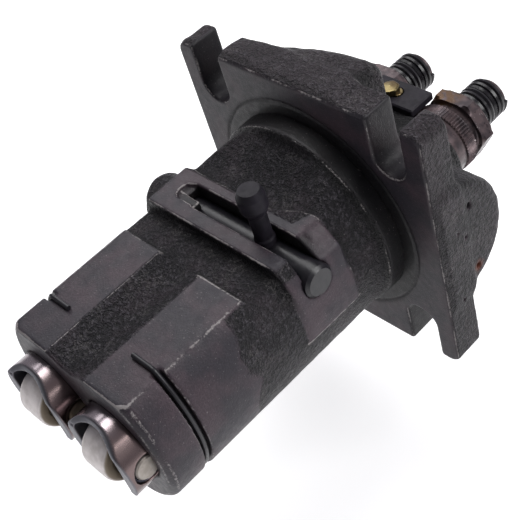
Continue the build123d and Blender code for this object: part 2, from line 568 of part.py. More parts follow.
    # delivery valve holder: threaded skirt, barrel, serrated collar, hexagon and outlet thread
    with BuildPart() as valve_holder:
        with BuildSketch(half_section(x)):
            with BuildLine():
                Polyline(
                    (0, HOLDER_Y0), (SKIRT_R, HOLDER_Y0), (SKIRT_R, RING_Y - 1.0),
                    (SKIRT_R - 1.08, RING_Y - 1.0), (SKIRT_R - 1.08, RING_Y + 1.0),
                    (SKIRT_R, RING_Y + 1.0), (SKIRT_R, BOSS_TOP + 0.1), (HOLDER_R, BOSS_TOP + 0.1),
                    (HOLDER_R, COLLAR_Y0 - 0.4), (COLLAR_R, COLLAR_Y0), (COLLAR_R, COLLAR_Y1 - 0.5),
                    (COLLAR_R - 0.5, COLLAR_Y1), (8.3, COLLAR_Y1 + 0.3), (8.3, HEX_Y0 + 0.5),
                    (0, HEX_Y0 + 0.5), (0, HOLDER_Y0),
                )
            make_face()
        revolve(axis=Axis((x, 0, 0), (0, 1, 0)))
        with BuildSketch(across(x, HEX_Y0)):
            RegularPolygon(HEX_AF / 2, 6, major_radius=False, rotation=0)
        extrude(amount=HEX_Y0 - HEX_Y1)
        # both ends of the hexagon are turned off at 30 degrees
        with BuildSketch(half_section(x)):
            with BuildLine():
                Polyline((HEX_AF / 2 + 0.2, HEX_Y0 - 0.1), (HEX_AF / 2 + 3, HEX_Y0 + 1.5),
                         (HEX_AF / 2 + 3, HEX_Y0 - 0.1), (HEX_AF / 2 + 0.2, HEX_Y0 - 0.1))
            make_face()
            with BuildLine():
                Polyline((HEX_AF / 2, HEX_Y1 + 0.1), (HEX_AF / 2 + 3, HEX_Y1 - 1.6),
                         (HEX_AF / 2 + 3, HEX_Y1 + 0.1), (HEX_AF / 2, HEX_Y1 + 0.1))
            make_face()
        revolve(axis=Axis((x, 0, 0), (0, 1, 0)), mode=Mode.SUBTRACT)
        with BuildSketch(half_section(x)):
            with BuildLine():
                Polyline(
                    (0, HEX_Y1 - 0.5), (5.2, HEX_Y1 - 0.5), (5.2, HEX_Y1 + 1.0),
                    (OUTLET_R, HEX_Y1 + 1.8), (OUTLET_R, OUTLET_Y1 - 0.9), (5.1, OUTLET_Y1),
                    (0, OUTLET_Y1), (0, HEX_Y1 - 0.5),
                )
            make_face()
        revolve(axis=Axis((x, 0, 0), (0, 1, 0)))
        # spring chamber, outlet bore and the sealing cone of the pipe
        with BuildSketch(half_section(x)):
            with BuildLine():
                Polyline(
                    (0, HOLDER_Y0 - 0.3), (SEAT_NECK_R + 0.6, HOLDER_Y0 - 0.3),
                    (SEAT_NECK_R + 0.6, SEAT_TOP + 3.0), (VALVE_R + 1.6, SEAT_TOP + 4.0),
                    (VALVE_R + 1.6, SEAT_TOP + 11.0), (1.4, SEAT_TOP + 12.0),
                    (1.4, OUTLET_Y1 - 3.6), (3.6, OUTLET_Y1), (3.6, OUTLET_Y1 + 1),
                    (0, OUTLET_Y1 + 1), (0, HOLDER_Y0 - 0.3),
                )
            make_face()
        revolve(axis=Axis((x, 0, 0), (0, 1, 0)), mode=Mode.SUBTRACT)
    valve_holder.part.label = f"valve_holder_{n}"
    export_step(valve_holder.part, f"parts/valve_holder_{n}.step")

    with BuildPart() as holder_o_ring:
        with BuildSketch(half_section(x)):
            with Locations((SKIRT_R - 0.5, RING_Y)):
                Circle(RING_R)
        revolve(axis=Axis((x, 0, 0), (0, 1, 0)))
    holder_o_ring.part.label = f"holder_o_ring_{n}"
    export_step(holder_o_ring.part, f"parts/holder_o_ring_{n}.step")

# ---------------------------------------------------------------- control rack
with BuildPart() as control_rack:
    with BuildSketch(Plane(origin=(RACK_X0, RACK_Y, RACK_Z), x_dir=(0, 1, 0), z_dir=(1, 0, 0))):
        Circle(RACK_R)
    extrude(amount=RACK_X1 - RACK_X0)
    chamfer(control_rack.edges().filter_by(GeomType.CIRCLE), 0.8)
    # the underside is cut with one group of teeth over each pinion
    with BuildSketch(Plane(origin=(0, RACK_Y - 6, 0), x_dir=(1, 0, 0), z_dir=(0, -1, 0))):
        pitch = math.pi * MODULE
        half = pitch / 4 - BACKLASH / 2
        slope = math.tan(math.radians(20))
        for centre in (CYL_X, -CYL_X):
            with BuildLine():
                points = []
                for k in range(-3, 3):
                    c = centre + pitch * (k + 0.5)
                    gap = pitch / 2 - half
                    points += [
                        (c - gap - slope * 0.75, PITCH_Z - 0.75), (c - gap + slope * 1.2, PITCH_Z + 1.2),
                        (c + gap - slope * 1.2, PITCH_Z + 1.2), (c + gap + slope * 0.75, PITCH_Z - 0.75),
                    ]
                Polyline(*points, (points[-1][0], PITCH_Z - 4), (points[0][0], PITCH_Z - 4),
                         close=True)
            make_face()
    extrude(amount=-12, mode=Mode.SUBTRACT)
    with BuildSketch(Plane.XY.offset(RACK_Z - 1.4)):
        with Locations((RACK_PIN_X, RACK_Y)):
            Circle(RACK_PIN_ROOT)
    extrude(amount=2 * RACK_R, mode=Mode.SUBTRACT)
control_rack.part.label = "control_rack"
export_step(control_rack.part, "parts/control_rack.step")

with BuildPart() as rack_pin:
    with BuildSketch(Plane(origin=(RACK_PIN_X, RACK_Y, 0), x_dir=(1, 0, 0), z_dir=(0, -1, 0))):
        with BuildLine():
            Polyline(
                (0, RACK_Z - 1.4), (RACK_PIN_ROOT, RACK_Z - 1.4),
                (RACK_PIN_ROOT, RACK_Z + RACK_R + 0.1), (RACK_PIN_R, RACK_Z + RACK_R + 0.1),
                (RACK_PIN_R, RACK_Z + 6.4), (RACK_PIN_NECK, RACK_Z + 7.0),
                (RACK_PIN_NECK, RACK_PIN_TOP - 7.9), (RACK_HEAD_R - 0.5, RACK_PIN_TOP - 6.9),
                (RACK_HEAD_R, RACK_PIN_TOP - 5.5), (RACK_HEAD_R, RACK_PIN_TOP - 1.9),
                (RACK_HEAD_R - 0.9, RACK_PIN_TOP), (0, RACK_PIN_TOP), (0, RACK_Z - 1.4),
            )
        make_face()
    revolve(axis=Axis((RACK_PIN_X, RACK_Y, 0), (0, 0, 1)))
rack_pin.part.label = "rack_pin"
export_step(rack_pin.part, "parts/rack_pin.step")

# ---------------------------------------------------------------- pins, clip and lock plate
with BuildPart() as tappet_guide_pins:
    with BuildSketch(Plane.XY.offset(GUIDE_OUT)):
        with Locations((CYL_X, GUIDE_Y), (-CYL_X, GUIDE_Y)):
            Circle(GUIDE_R)
    extrude(amount=-GUIDE_OUT - TAPPET_R + GROOVE_DEPTH - 0.25)
tappet_guide_pins.part.label = "tappet_guide_pins"
export_step(tappet_guide_pins.part, "parts/tappet_guide_pins.step")

with BuildPart() as barrel_locating_pins:
    with BuildSketch(Plane.XY.offset(-25.0)):
        with Locations((CYL_X, BARREL_PIN_Y), (-CYL_X, BARREL_PIN_Y)):
            Circle(BARREL_PIN_R)
    extrude(amount=25.0 - BARREL_R + 0.9)
barrel_locating_pins.part.label = "barrel_locating_pins"
export_step(barrel_locating_pins.part, "parts/barrel_locating_pins.step")

with BuildPart() as guide_pin_clip:
    clip_z = PAD_Z + CLIP_WIRE_R + 0.03
    corner = (math.sqrt(CLIP_R ** 2 - clip_z ** 2), clip_z)
    with BuildLine(Plane(origin=(0, CLIP_Y, 0), x_dir=(1, 0, 0), z_dir=(0, -1, 0))) as wire:
        Line((-CLIP_END_X, clip_z), (-corner[0], clip_z))
        ThreePointArc((-corner[0], clip_z), (0, -CLIP_R), corner)
        Line(corner, (CLIP_END_X, clip_z))
        fillet(wire.vertices().filter_by(lambda v: abs(abs(v.X) - corner[0]) < 0.01), CLIP_BEND_R)
    with BuildSketch(Plane(origin=wire.line @ 0, z_dir=wire.line % 0)):
        Circle(CLIP_WIRE_R)
    sweep(path=wire.line)
guide_pin_clip.part.label = "guide_pin_clip"
export_step(guide_pin_clip.part, "parts/guide_pin_clip.step")

with BuildPart() as lock_plate:
    with BuildSketch(Plane.XY.offset(PLATE_Z0)):
        with Locations((0, (PLATE_Y0 + PLATE_Y1) / 2)):
            RectangleRounded(PLATE_X, PLATE_Y1 - PLATE_Y0, 0.6)
        with Locations((0, SCREW_Y)):
            Circle(SCREW_R + 0.3, mode=Mode.SUBTRACT)
    extrude(amount=PLATE_T)
    chamfer(lock_plate.faces().sort_by(Axis.Z)[-1].outer_wire().edges(), 0.4)
lock_plate.part.label = "lock_plate"
export_step(lock_plate.part, "parts/lock_plate.step")

with BuildPart() as lock_plate_screw:
    with BuildSketch(Plane.XY.offset(PLATE_Z0 + PLATE_T)):
        with Locations((0, SCREW_Y)):
            Circle(SCREW_HEAD_R)
    extrude(amount=SCREW_HEAD_T)
    chamfer(lock_plate_screw.edges().group_by(Axis.Z)[-1], 0.4)
    with BuildSketch(Plane.XY.offset(4.5)):
        with Locations((0, SCREW_Y)):
            Circle(SCREW_R)
    extrude(amount=PLATE_Z0 + PLATE_T - 4.5 + 0.1)
lock_plate_screw.part.label = "lock_plate_screw"
export_step(lock_plate_screw.part, "parts/lock_plate_screw.step")
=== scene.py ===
"""Diesel injection pump with two cylinders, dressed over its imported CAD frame.

Every length in the classes below is in millimetres unless its name ends in _m, and is turned into
metres when a mesh is made. +Y runs along the plungers to the fuel outlets, +Z faces the rack side.
"""

from __future__ import annotations

import json
import logging
import math
from dataclasses import dataclass
from functools import reduce
from typing import Callable

import bmesh
import bpy
import numpy as np
from mathutils import Matrix, Vector

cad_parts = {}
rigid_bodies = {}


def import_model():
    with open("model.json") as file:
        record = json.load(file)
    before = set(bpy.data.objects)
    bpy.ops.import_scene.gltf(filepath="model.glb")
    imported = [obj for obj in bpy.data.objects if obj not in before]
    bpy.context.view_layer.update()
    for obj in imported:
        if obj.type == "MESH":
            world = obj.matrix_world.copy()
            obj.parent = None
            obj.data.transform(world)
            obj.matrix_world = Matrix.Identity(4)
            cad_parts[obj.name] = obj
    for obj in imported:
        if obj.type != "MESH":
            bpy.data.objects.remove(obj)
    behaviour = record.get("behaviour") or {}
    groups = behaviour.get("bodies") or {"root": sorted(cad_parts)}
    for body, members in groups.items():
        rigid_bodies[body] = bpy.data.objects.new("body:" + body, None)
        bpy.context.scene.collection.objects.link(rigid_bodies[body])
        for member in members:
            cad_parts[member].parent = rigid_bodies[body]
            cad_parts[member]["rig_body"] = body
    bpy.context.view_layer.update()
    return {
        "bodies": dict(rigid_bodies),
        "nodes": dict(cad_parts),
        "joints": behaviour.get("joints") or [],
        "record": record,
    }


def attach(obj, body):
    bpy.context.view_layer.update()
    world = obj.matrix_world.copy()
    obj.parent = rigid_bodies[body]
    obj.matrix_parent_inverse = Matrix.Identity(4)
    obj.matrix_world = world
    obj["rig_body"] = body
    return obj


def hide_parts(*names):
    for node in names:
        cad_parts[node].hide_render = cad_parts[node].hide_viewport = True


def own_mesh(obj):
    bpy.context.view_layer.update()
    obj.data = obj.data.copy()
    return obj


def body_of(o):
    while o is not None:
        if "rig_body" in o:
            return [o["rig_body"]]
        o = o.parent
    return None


LOG = logging.getLogger("injection_pump")
MM = 0.001
METRE = 1000.0  # in millimetres
SLANT = 0.7071  # scales what is measured across a 45 degree chamfer to a distance
FAR = 50.0  # a distance that keeps a place out of a search for the nearest
Array = np.ndarray
Field = Callable[[Array], Array]
Pair = tuple[float, float]
Triple = tuple[float, float, float]
Four = tuple[float, float, float, float]
Socket = bpy.types.NodeSocket
Material = bpy.types.Material


# ------------------------------------------------------------------ distance fields
def smooth_min(a: Array, b: Array, k: float) -> Array:
    """Joins two distances with a fillet of about k.

    Args:
        a: First distance.
        b: Second distance.
        k: Width of the blend.

    Returns:
        The blended distance.
    """
    h = np.maximum(k - np.abs(a - b), 0.0) / k
    return np.minimum(a, b) - h * h * k * 0.25


def smooth_max(a: Array, b: Array, k: float) -> Array:
    """Intersects two distances with an edge rounded by about k."""
    return -smooth_min(-a, -b, k)


def within(*gaps: Array | float) -> Array:
    """Intersects any number of distances, with sharp edges."""
    return reduce(np.maximum, gaps)


def block(p: Array, low: Triple, high: Triple, edge: float) -> Array:
    """Distance to a box between two corners, with its edges rounded by about edge."""
    d = [np.abs(p[:, i] - (low[i] + high[i]) / 2) - (high[i] - low[i]) / 2 for i in range(3)]
    return smooth_max(smooth_max(d[0], d[1], edge), d[2], edge)


def noise(p: Array, scale: float, seed: int = 0) -> Array:
    """Smooth value noise between -1 and 1.

    Args:
        p: Points, one per row.
        scale: Size of one cell.
        seed: Picks the pattern.

    Returns:
        One value per point.
    """
    q = p / scale
    base = np.floor(q).astype(np.int64)
    f = (q - base).astype(np.float32)
    f = f * f * (3 - 2 * f)
    total = np.zeros(len(p), np.float32)
    for dx in (0, 1):
        for dy in (0, 1):
            for dz in (0, 1):
                h = ((base[:, 0] + dx) * 73856093) ^ ((base[:, 1] + dy) * 19349663) \
                    ^ ((base[:, 2] + dz) * 83492791) ^ (seed * 2654435761)
                h = (h ^ (h >> 13)) * 1274126177
                value = ((h >> 8) & 0xFFFF).astype(np.float32) / 32767.5 - 1.0
                w = (f[:, 0] if dx else 1 - f[:, 0]) * (f[:, 1] if dy else 1 - f[:, 1]) \
                    * (f[:, 2] if dz else 1 - f[:, 2])
                total += w * value
    return total


def fractal(p: Array, scale: float, octaves: int = 3, seed: int = 0) -> Array:
    """Sum of noise layers, each half the size and half the strength of the last.

    Args:
        p: Points, one per row.
        scale: Size of the largest cells.
        octaves: Number of layers.
        seed: Picks the pattern.

    Returns:
        One value per point.
    """
    total = np.zeros(len(p), np.float32)
    for i in range(octaves):
        total += noise(p, scale / 2 ** i, seed + i) / 2 ** i
    return total / 1.75  # what three layers can add up to


def ramp(v: Array, low: float, high: float) -> Array:
    """Goes smoothly from 0 at low to 1 at high."""
    t = np.clip((v - low) / (high - low), 0.0, 1.0)
    return t * t * (3 - 2 * t)


@dataclass
class FieldMesher:
    """Turns a distance field into a closed mesh of quads, one vertex per crossed cell."""

    low: Triple
    high: Triple
    step: float
    block: int = 6
    batch: int = 800

    def _samples(self, solid: Field) -> Array:
        """Samples the field on the grid, finely only in the blocks that the surface may cross.

        Args:
            solid: Gives the distance at each point.

        Returns:
            The distance at each grid point, coarse where it is far from the surface.
        """
        size = self.block
        blocks = [math.ceil((self.high[i] - self.low[i]) / self.step / size) for i in range(3)]
        centres = np.stack(np.meshgrid(*[np.arange(b) for b in blocks], indexing="ij"), -1)
        centres = centres.reshape(-1, 3)
        origin = np.array(self.low, np.float32)
        middle = origin + (centres * size + (size - 1) / 2).astype(np.float32) * self.step
        coarse = solid(middle)
        values = np.repeat(np.repeat(np.repeat(coarse.reshape(blocks), size, 0), size, 1), size, 2)
        near = centres[np.abs(coarse) < size * self.step * 1.05]
        inner = np.stack(np.meshgrid(*[np.arange(size)] * 3, indexing="ij"), -1).reshape(-1, 3)
        for i in range(0, len(near), self.batch):
            cell = (near[i:i + self.batch, None, :] * size + inner[None]).reshape(-1, 3)
            values[cell[:, 0], cell[:, 1], cell[:, 2]] = \
                solid(origin + cell.astype(np.float32) * self.step)
        return values

    def build(self, solid: Field) -> tuple[Array, Array]:
        """Meshes the field.

        Args:
            solid: Gives the distance at each point, negative inside.

        Returns:
            Vertices in millimetres and quads as rows of four indices, facing outwards.
        """
        values = self._samples(solid)
        inside = values < 0
        cells = [n - 1 for n in values.shape]
        total = np.zeros((*cells, 3), np.float32)
        count = np.zeros(cells, np.float32)
        corners = [(0, 0, 0), (1, 0, 0), (0, 1, 0), (0, 0, 1), (1, 1, 0), (1, 0, 1), (0, 1, 1)]

        def grid(c: tuple) -> tuple:
            """Slices that read every cell's corner c."""
            return tuple(slice(c[i], c[i] + cells[i]) for i in range(3))

        for a in corners:
            for axis in range(3):
                if a[axis]:
                    continue
                b = tuple(a[i] + (i == axis) for i in range(3))
                va, vb = values[grid(a)], values[grid(b)]
                cross = inside[grid(a)] != inside[grid(b)]
                t = np.where(cross, va / np.where(cross, va - vb, 1), 0)
                for i in range(3):
                    total[..., i] += np.where(cross, a[i] + (t if i == axis else 0), 0)
                count += cross
        live = count > 0
        index = np.full(cells, -1, np.int64)
        index[live] = np.arange(live.sum())
        where = np.argwhere(live).astype(np.float32)
        verts = (where + total[live] / count[live][:, None]) * self.step + np.array(self.low)
        quads = []
        for axis in range(3):
            u, v = (axis + 1) % 3, (axis + 2) % 3
            low, high = ([slice(1, n) for n in cells] for _ in range(2))
            low[axis] = slice(0, cells[axis])
            high[axis] = slice(1, cells[axis] + 1)
            first, second = inside[tuple(low)], inside[tuple(high)]
            for flip, mask in ((False, first & ~second), (True, ~first & second)):
                at = np.argwhere(mask)
                at[:, u] += 1
                at[:, v] += 1
                ring = []
                for du, dv in ((0, 0), (-1, 0), (-1, -1), (0, -1)):
                    c = at.copy()
                    c[:, u] += du
                    c[:, v] += dv
                    ring.append(index[c[:, 0], c[:, 1], c[:, 2]])
                quads.append(np.stack(ring[::-1] if flip else ring, 1))
        return self._settle(verts.astype(np.float32), solid), np.concatenate(quads)

    def _settle(self, verts: Array, solid: Field) -> Array:
        """Moves each vertex onto the field's zero surface.

        Args:
            verts: Vertices in millimetres.
            solid: Gives the distance at each point.

        Returns:
            The vertices in their new places.
        """
        probe, reach, flattest = 0.05, 0.3, 0.25
        for _ in range(2):
            d = solid(verts)
            grad = np.stack([(solid(verts + np.eye(3, dtype=np.float32)[i] * probe) - d) / probe
                             for i in range(3)], 1)
            size = np.maximum((grad ** 2).sum(1), flattest)
            verts = verts - np.clip(d / size, -reach, reach)[:, None] * grad
        return verts


# ------------------------------------------------------------------ finishes
class Graph:
    """Short hand for adding nodes to a tree."""

    def __init__(self, tree: bpy.types.NodeTree) -> None:
        """Keeps the tree."""
        self.tree = tree

    def feed(self, socket: Socket, value: object) -> None:
        """Links a socket to another, or sets its value; a colour may come as three numbers.

        Args:
            socket: Input to set.
            value: Socket to link from, or the value.
        """
        if isinstance(value, Socket):
            self.tree.links.new(value, socket)
        elif socket.type == "RGBA" and len(value) == 3:
            socket.default_value = (*value, 1.0)
        else:
            socket.default_value = value

    def add(self, kind: str, inputs: dict[str | int, object] | None = None,
            **settings: object) -> bpy.types.Node:
        """Adds a node.

        Args:
            kind: Blender's name of the node type.
            inputs: Value or socket of each input, by its name or its place.
            **settings: Attributes to set on it.

        Returns:
            The node.
        """
        node = self.tree.nodes.new(kind)
        for key, value in settings.items():
            setattr(node, key, value)
        for key, value in (inputs or {}).items():
            self.feed(node.inputs[key], value)
        return node


class Finish(Graph):
    """One material under construction, with its patterns sized in millimetres."""

    def __init__(self, name: str) -> None:
        """Starts a material of that name.

        Args:
            name: Name of the material.
        """
        self.material = bpy.data.materials.new(name)
        self.material.use_nodes = True
        super().__init__(self.material.node_tree)
        self.place = self.add("ShaderNodeTexCoord").outputs["Object"]

    def math(self, operation: str, a: object, b: object = 0.0, clamp: bool = False) -> Socket:
        """Adds a Math node and returns its output."""
        return self.add("ShaderNodeMath", {0: a, 1: b}, operation=operation, use_clamp=clamp).outputs[0]

    def times(self, a: object, b: object) -> Socket:
        """Multiplies two values."""
        return self.math("MULTIPLY", a, b)

    def plus(self, a: object, b: object) -> Socket:
        """Adds two values."""
        return self.math("ADD", a, b)

    def mix(self, factor: object, a: object, b: object) -> Socket:
        """Mixes two colours, each a socket or three numbers, and returns the result."""
        return self.add("ShaderNodeMix", {0: factor, 6: a, 7: b}, data_type="RGBA").outputs[2]

    def noise(self, size: float, detail: float = 3.0, rough: float = 0.55,
              stretch: Triple = (1, 1, 1)) -> Socket:
        """Adds noise whose features are about size millimetres and returns its factor.

        Args:
            size: Size of its features in millimetres.
            detail: Number of finer layers.
            rough: Strength of the finer layers.
            stretch: Scale along X, Y and Z.

        Returns:
            The noise's factor.
        """
        place = self.add("ShaderNodeMapping", {"Vector": self.place, "Scale": stretch})
        return self.add("ShaderNodeTexNoise", {
            "Vector": place.outputs[0], "Scale": METRE / size, "Detail": detail,
            "Roughness": rough}).outputs[0]

    def band(self, value: object, low: float, high: float, to_low: float = 0.0,
             to_high: float = 1.0) -> Socket:
        """Maps a value's range smoothly to another.

        Args:
            value: Value to map.
            low: Where its range starts.
            high: Where its range ends.
            to_low: What the start turns into.
            to_high: What the end turns into.

        Returns:
            The mapped value.
        """
        return self.add("ShaderNodeMapRange", {
            "Value": value, "From Min": low, "From Max": high, "To Min": to_low,
            "To Max": to_high}, interpolation_type="SMOOTHSTEP").outputs[0]

    def attribute(self, name: str) -> Socket:
        """Reads a number stored on the mesh."""
        return self.add("ShaderNodeAttribute", attribute_name=name).outputs["Fac"]

    def bump(self, height: object, depth: float) -> Socket:
        """Adds a bump of depth millimetres and returns its normal."""
        return self.add("ShaderNodeBump", {"Height": height, "Distance": depth * MM}).outputs[0]

    def finish(self, **sockets: object) -> Material:
        """Sets the shader's inputs, with spaces written as underscores, and returns the material.

        Args:
            **sockets: Value or socket of each input, by its name.

        Returns:
            The material.
        """
        shader = self.tree.nodes["Principled BSDF"]
        for key, value in sockets.items():
            self.feed(shader.inputs[key.replace("_", " ")], value)
        return self.material


# ------------------------------------------------------------------ meshes
def to_object(name: str, verts: Array, faces: Array | list, body: str,
              material: Material, smooth: float = 40.0, **layers: Array) -> bpy.types.Object:
    """Makes a mesh object that moves with a body.

    Args:
        name: Name of the piece.
        verts: Vertices in millimetres.
        faces: Indices of each face.
        body: Body of the frame that it rides on.
        material: Its finish.
        smooth: Angle in degrees above which an edge stays sharp.
        **layers: One number per vertex for each attribute stored on the mesh.

    Returns:
        The object, which stands at the origin.
    """
    mesh = bpy.data.meshes.new(name)
    mesh.from_pydata((np.asarray(verts, float) * MM).tolist(), [],
                     faces.tolist() if isinstance(faces, np.ndarray) else faces)
    for key, values in layers.items():
        layer = mesh.attributes.new(key, "FLOAT", "POINT")
        layer.data.foreach_set("value", np.asarray(values, np.float32))
    mesh.shade_smooth()
    mesh.set_sharp_from_angle(angle=math.radians(smooth))
    obj = bpy.data.objects.new(name, mesh)
    bpy.context.scene.collection.objects.link(obj)
    mesh.materials.append(material)
    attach(obj, body)
    LOG.info("%s: %d faces on %s", name, len(mesh.polygons), body)
    return obj


def turn(axis_x: float, segments: int, rows: list[Pair],
         shape: Callable[[Array, float, float], Array]) -> tuple[Array, list]:
    """Turns a closed profile about an axis parallel to Y.

    Args:
        axis_x: Place of the axis.
        segments: Points in each ring.
        rows: Radius and height of each ring, from the inner start round to the inner end.
        shape: Gives the radii of one ring from its angles, radius and height.

    Returns:
        Vertices and faces.
    """
    angle = np.arange(segments) * 2 * math.pi / segments
    verts = []
    for radius, y in rows:
        r = shape(angle, radius, y)
        verts.append(np.stack([axis_x + r * np.cos(angle), np.full(segments, y), -r * np.sin(angle)], 1))
    faces = []
    for i in range(len(rows)):
        a, b = i * segments, ((i + 1) % len(rows)) * segments
        faces += [(a + j, b + j, b + (j + 1) % segments, a + (j + 1) % segments) for j in range(segments)]
    return np.concatenate(verts), faces


# ------------------------------------------------------------------ finishes of the pieces
@dataclass(frozen=True)
class BlackCasting:
    """Blackened cast iron: rough skin, machined faces with a warm tint and edges rubbed bright."""

    machined: Triple = (0.025, 0.022, 0.0285)
    crest: Triple = (0.046, 0.042, 0.049)
    skin: Triple = (0.0105, 0.0095, 0.0118)
    # painted light: the skin at the top of the flange and hump, lighter and warmer
    warm_lit_skin: Triple = (0.030, 0.0225, 0.027)
    tint: Triple = (0.047, 0.033, 0.041)
    bright: Triple = (0.30, 0.28, 0.275)
    # darkest colour: dirt in the pits of the grain and skin, and painted shade in recesses
    dirt_and_shade: Triple = (0.004, 0.004, 0.0045)
    rust: Triple = (0.10, 0.030, 0.018)
    gloss: float = 0.25
    relief: float = 0.55

    def _skin(self, n: Finish, pebble: Socket, grain: Socket) -> Socket:
        """Colour of the rough skin: pale crests, black hollows, warm clouds and a top lightened with
        painted light.

        Args:
            n: The material under construction.
            pebble: Coarse relief, from 0 to 1.
            grain: Fine relief, from 0 to 1.

        Returns:
            The colour.
        """
        skin = n.mix(n.times(n.band(n.noise(9.0), 0.45, 0.65), 0.35), self.skin, self.tint)
        # painted light: lighter, warmer skin towards the top
        skin = n.mix(n.times(n.attribute("warm"), 0.75), skin, self.warm_lit_skin)
        relief = n.plus(n.times(pebble, 0.5), n.times(grain, 0.5))
        skin = n.mix(n.band(relief, 0.15, 0.45, 0.9, 0.0), skin, self.dirt_and_shade)
        return n.mix(n.band(relief, 0.55, 0.95, 0.0, 0.9), skin, self.crest)

    def _rubbed(self, n: Finish, cast: Socket) -> Socket:
        """Share of bright metal: broken lines along the edges, veins in the skin and specks.

        Args:
            n: The material under construction.
            cast: Share of rough skin.

        Returns:
            The share, from 0 to 1.
        """
        strength = n.band(n.noise(7.0, 2.0), 0.38, 0.58, 0.80, 1.0)
        line = n.plus(n.times(n.attribute("wear"), strength), n.times(n.noise(0.8, 3.0, 0.8), 0.58))
        line = n.times(n.band(line, 0.98, 1.15), 0.70)
        vein = n.math("ABSOLUTE", n.math("SUBTRACT", n.noise(2.4, 4.0, 0.65), 0.5))
        vein = n.times(n.band(vein, 0.010, 0.030, 1.0, 0.0), n.band(n.noise(8.0), 0.50, 0.60))
        vein = n.times(vein, n.times(cast, 0.14))
        speck = n.times(n.band(n.noise(0.45, 1.0, 0.5), 0.70, 0.78), 0.32)
        return n.math("MAXIMUM", line, n.math("MAXIMUM", speck, vein), clamp=True)

    def material(self) -> Material:
        """Builds the material from the attributes cast, wear, warm and rusty, and from the attribute of
        painted shade in recesses.

        Returns:
            The material.
        """
        n = Finish("black_casting")
        cast = n.attribute("cast")
        pebble = n.band(n.noise(1.15, 3.0, 0.65), 0.36, 0.64)
        grain = n.band(n.noise(0.5, 2.0, 0.6), 0.36, 0.64)
        base = n.mix(n.band(n.noise(13.0, 3.0, 0.6), 0.40, 0.64), self.machined, self.tint)
        base = n.mix(n.band(grain, 0.2, 0.9, 0.25, 0.0), base, self.dirt_and_shade)
        base = n.mix(cast, base, self._skin(n, pebble, grain))
        # painted shade: recesses and the spigot beside the flange darkened towards the darkest colour
        base = n.mix(n.band(n.attribute("painted_shade"), 0.03, 0.65, 0.0, 0.92), base, self.dirt_and_shade)
        base = n.mix(self._rubbed(n, cast), base, self.bright)
        base = n.mix(n.attribute("rusty"), base, self.rust)
        rough = n.plus(n.times(cast, 0.02), n.band(n.noise(2.0, 4.0), 0.3, 0.7, 0.40, 0.52))
        height = n.plus(n.times(pebble, n.plus(n.times(cast, 0.75), 0.02)),
                        n.times(grain, n.plus(n.times(cast, 0.30), 0.035)))
        return n.finish(Base_Color=base, Roughness=rough, Metallic=0.0, Specular_IOR_Level=self.gloss,
                        Normal=n.bump(height, self.relief))


@dataclass(frozen=True)
class Steel:
    """Steel with faint mottling, from polished to blackened."""

    colour: Triple
    second: Triple
    rough: float = 0.3
    metal: float = 1.0
    gloss: float = 0.4
    grain: float = 0.02

    def material(self, name: str) -> Material:
        """Builds the material.

        Args:
            name: Name of the material.

        Returns:
            The material.
        """
        n = Finish(name)
        base = n.mix(n.band(n.noise(3.0, 3.0), 0.35, 0.68), self.colour, self.second)
        rough = n.band(n.noise(1.4, 4.0), 0.3, 0.7, self.rough * 0.85, self.rough * 1.2)
        return n.finish(Base_Color=base, Roughness=rough, Metallic=self.metal,
                        Specular_IOR_Level=self.gloss, Normal=n.bump(n.noise(0.5, 3.0), self.grain))


@dataclass(frozen=True)
class HolderSteel:
    """Tinted steel of the valve holders, with a stained place and bright nicks."""

    colour: Triple = (0.080, 0.058, 0.060)
    second: Triple = (0.034, 0.026, 0.029)
    stain: Triple = (0.075, 0.040, 0.020)
    bright: Triple = (0.42, 0.38, 0.38)

    def material(self) -> Material:
        """Builds the material from the attribute rusty.

        Returns:
            The material.
        """
        n = Finish("holder_steel")
        base = n.mix(n.band(n.noise(3.2, 3.0), 0.38, 0.64), self.colour, self.second)
        stained = n.times(n.attribute("rusty"), n.band(n.noise(2.4, 3.0), 0.36, 0.52))
        base = n.mix(stained, base, self.stain)
        nick = n.times(n.band(n.noise(0.9, 2.0, 0.6), 0.64, 0.70), n.band(n.noise(5.0), 0.48, 0.58))
        base = n.mix(n.times(nick, 0.6), base, self.bright)
        rough = n.band(n.noise(1.4, 4.0), 0.3, 0.7, 0.26, 0.40)
        return n.finish(Base_Color=base, Roughness=rough, Metallic=0.6, Specular_IOR_Level=0.4,
                        Normal=n.bump(n.noise(0.5, 3.0), 0.02))


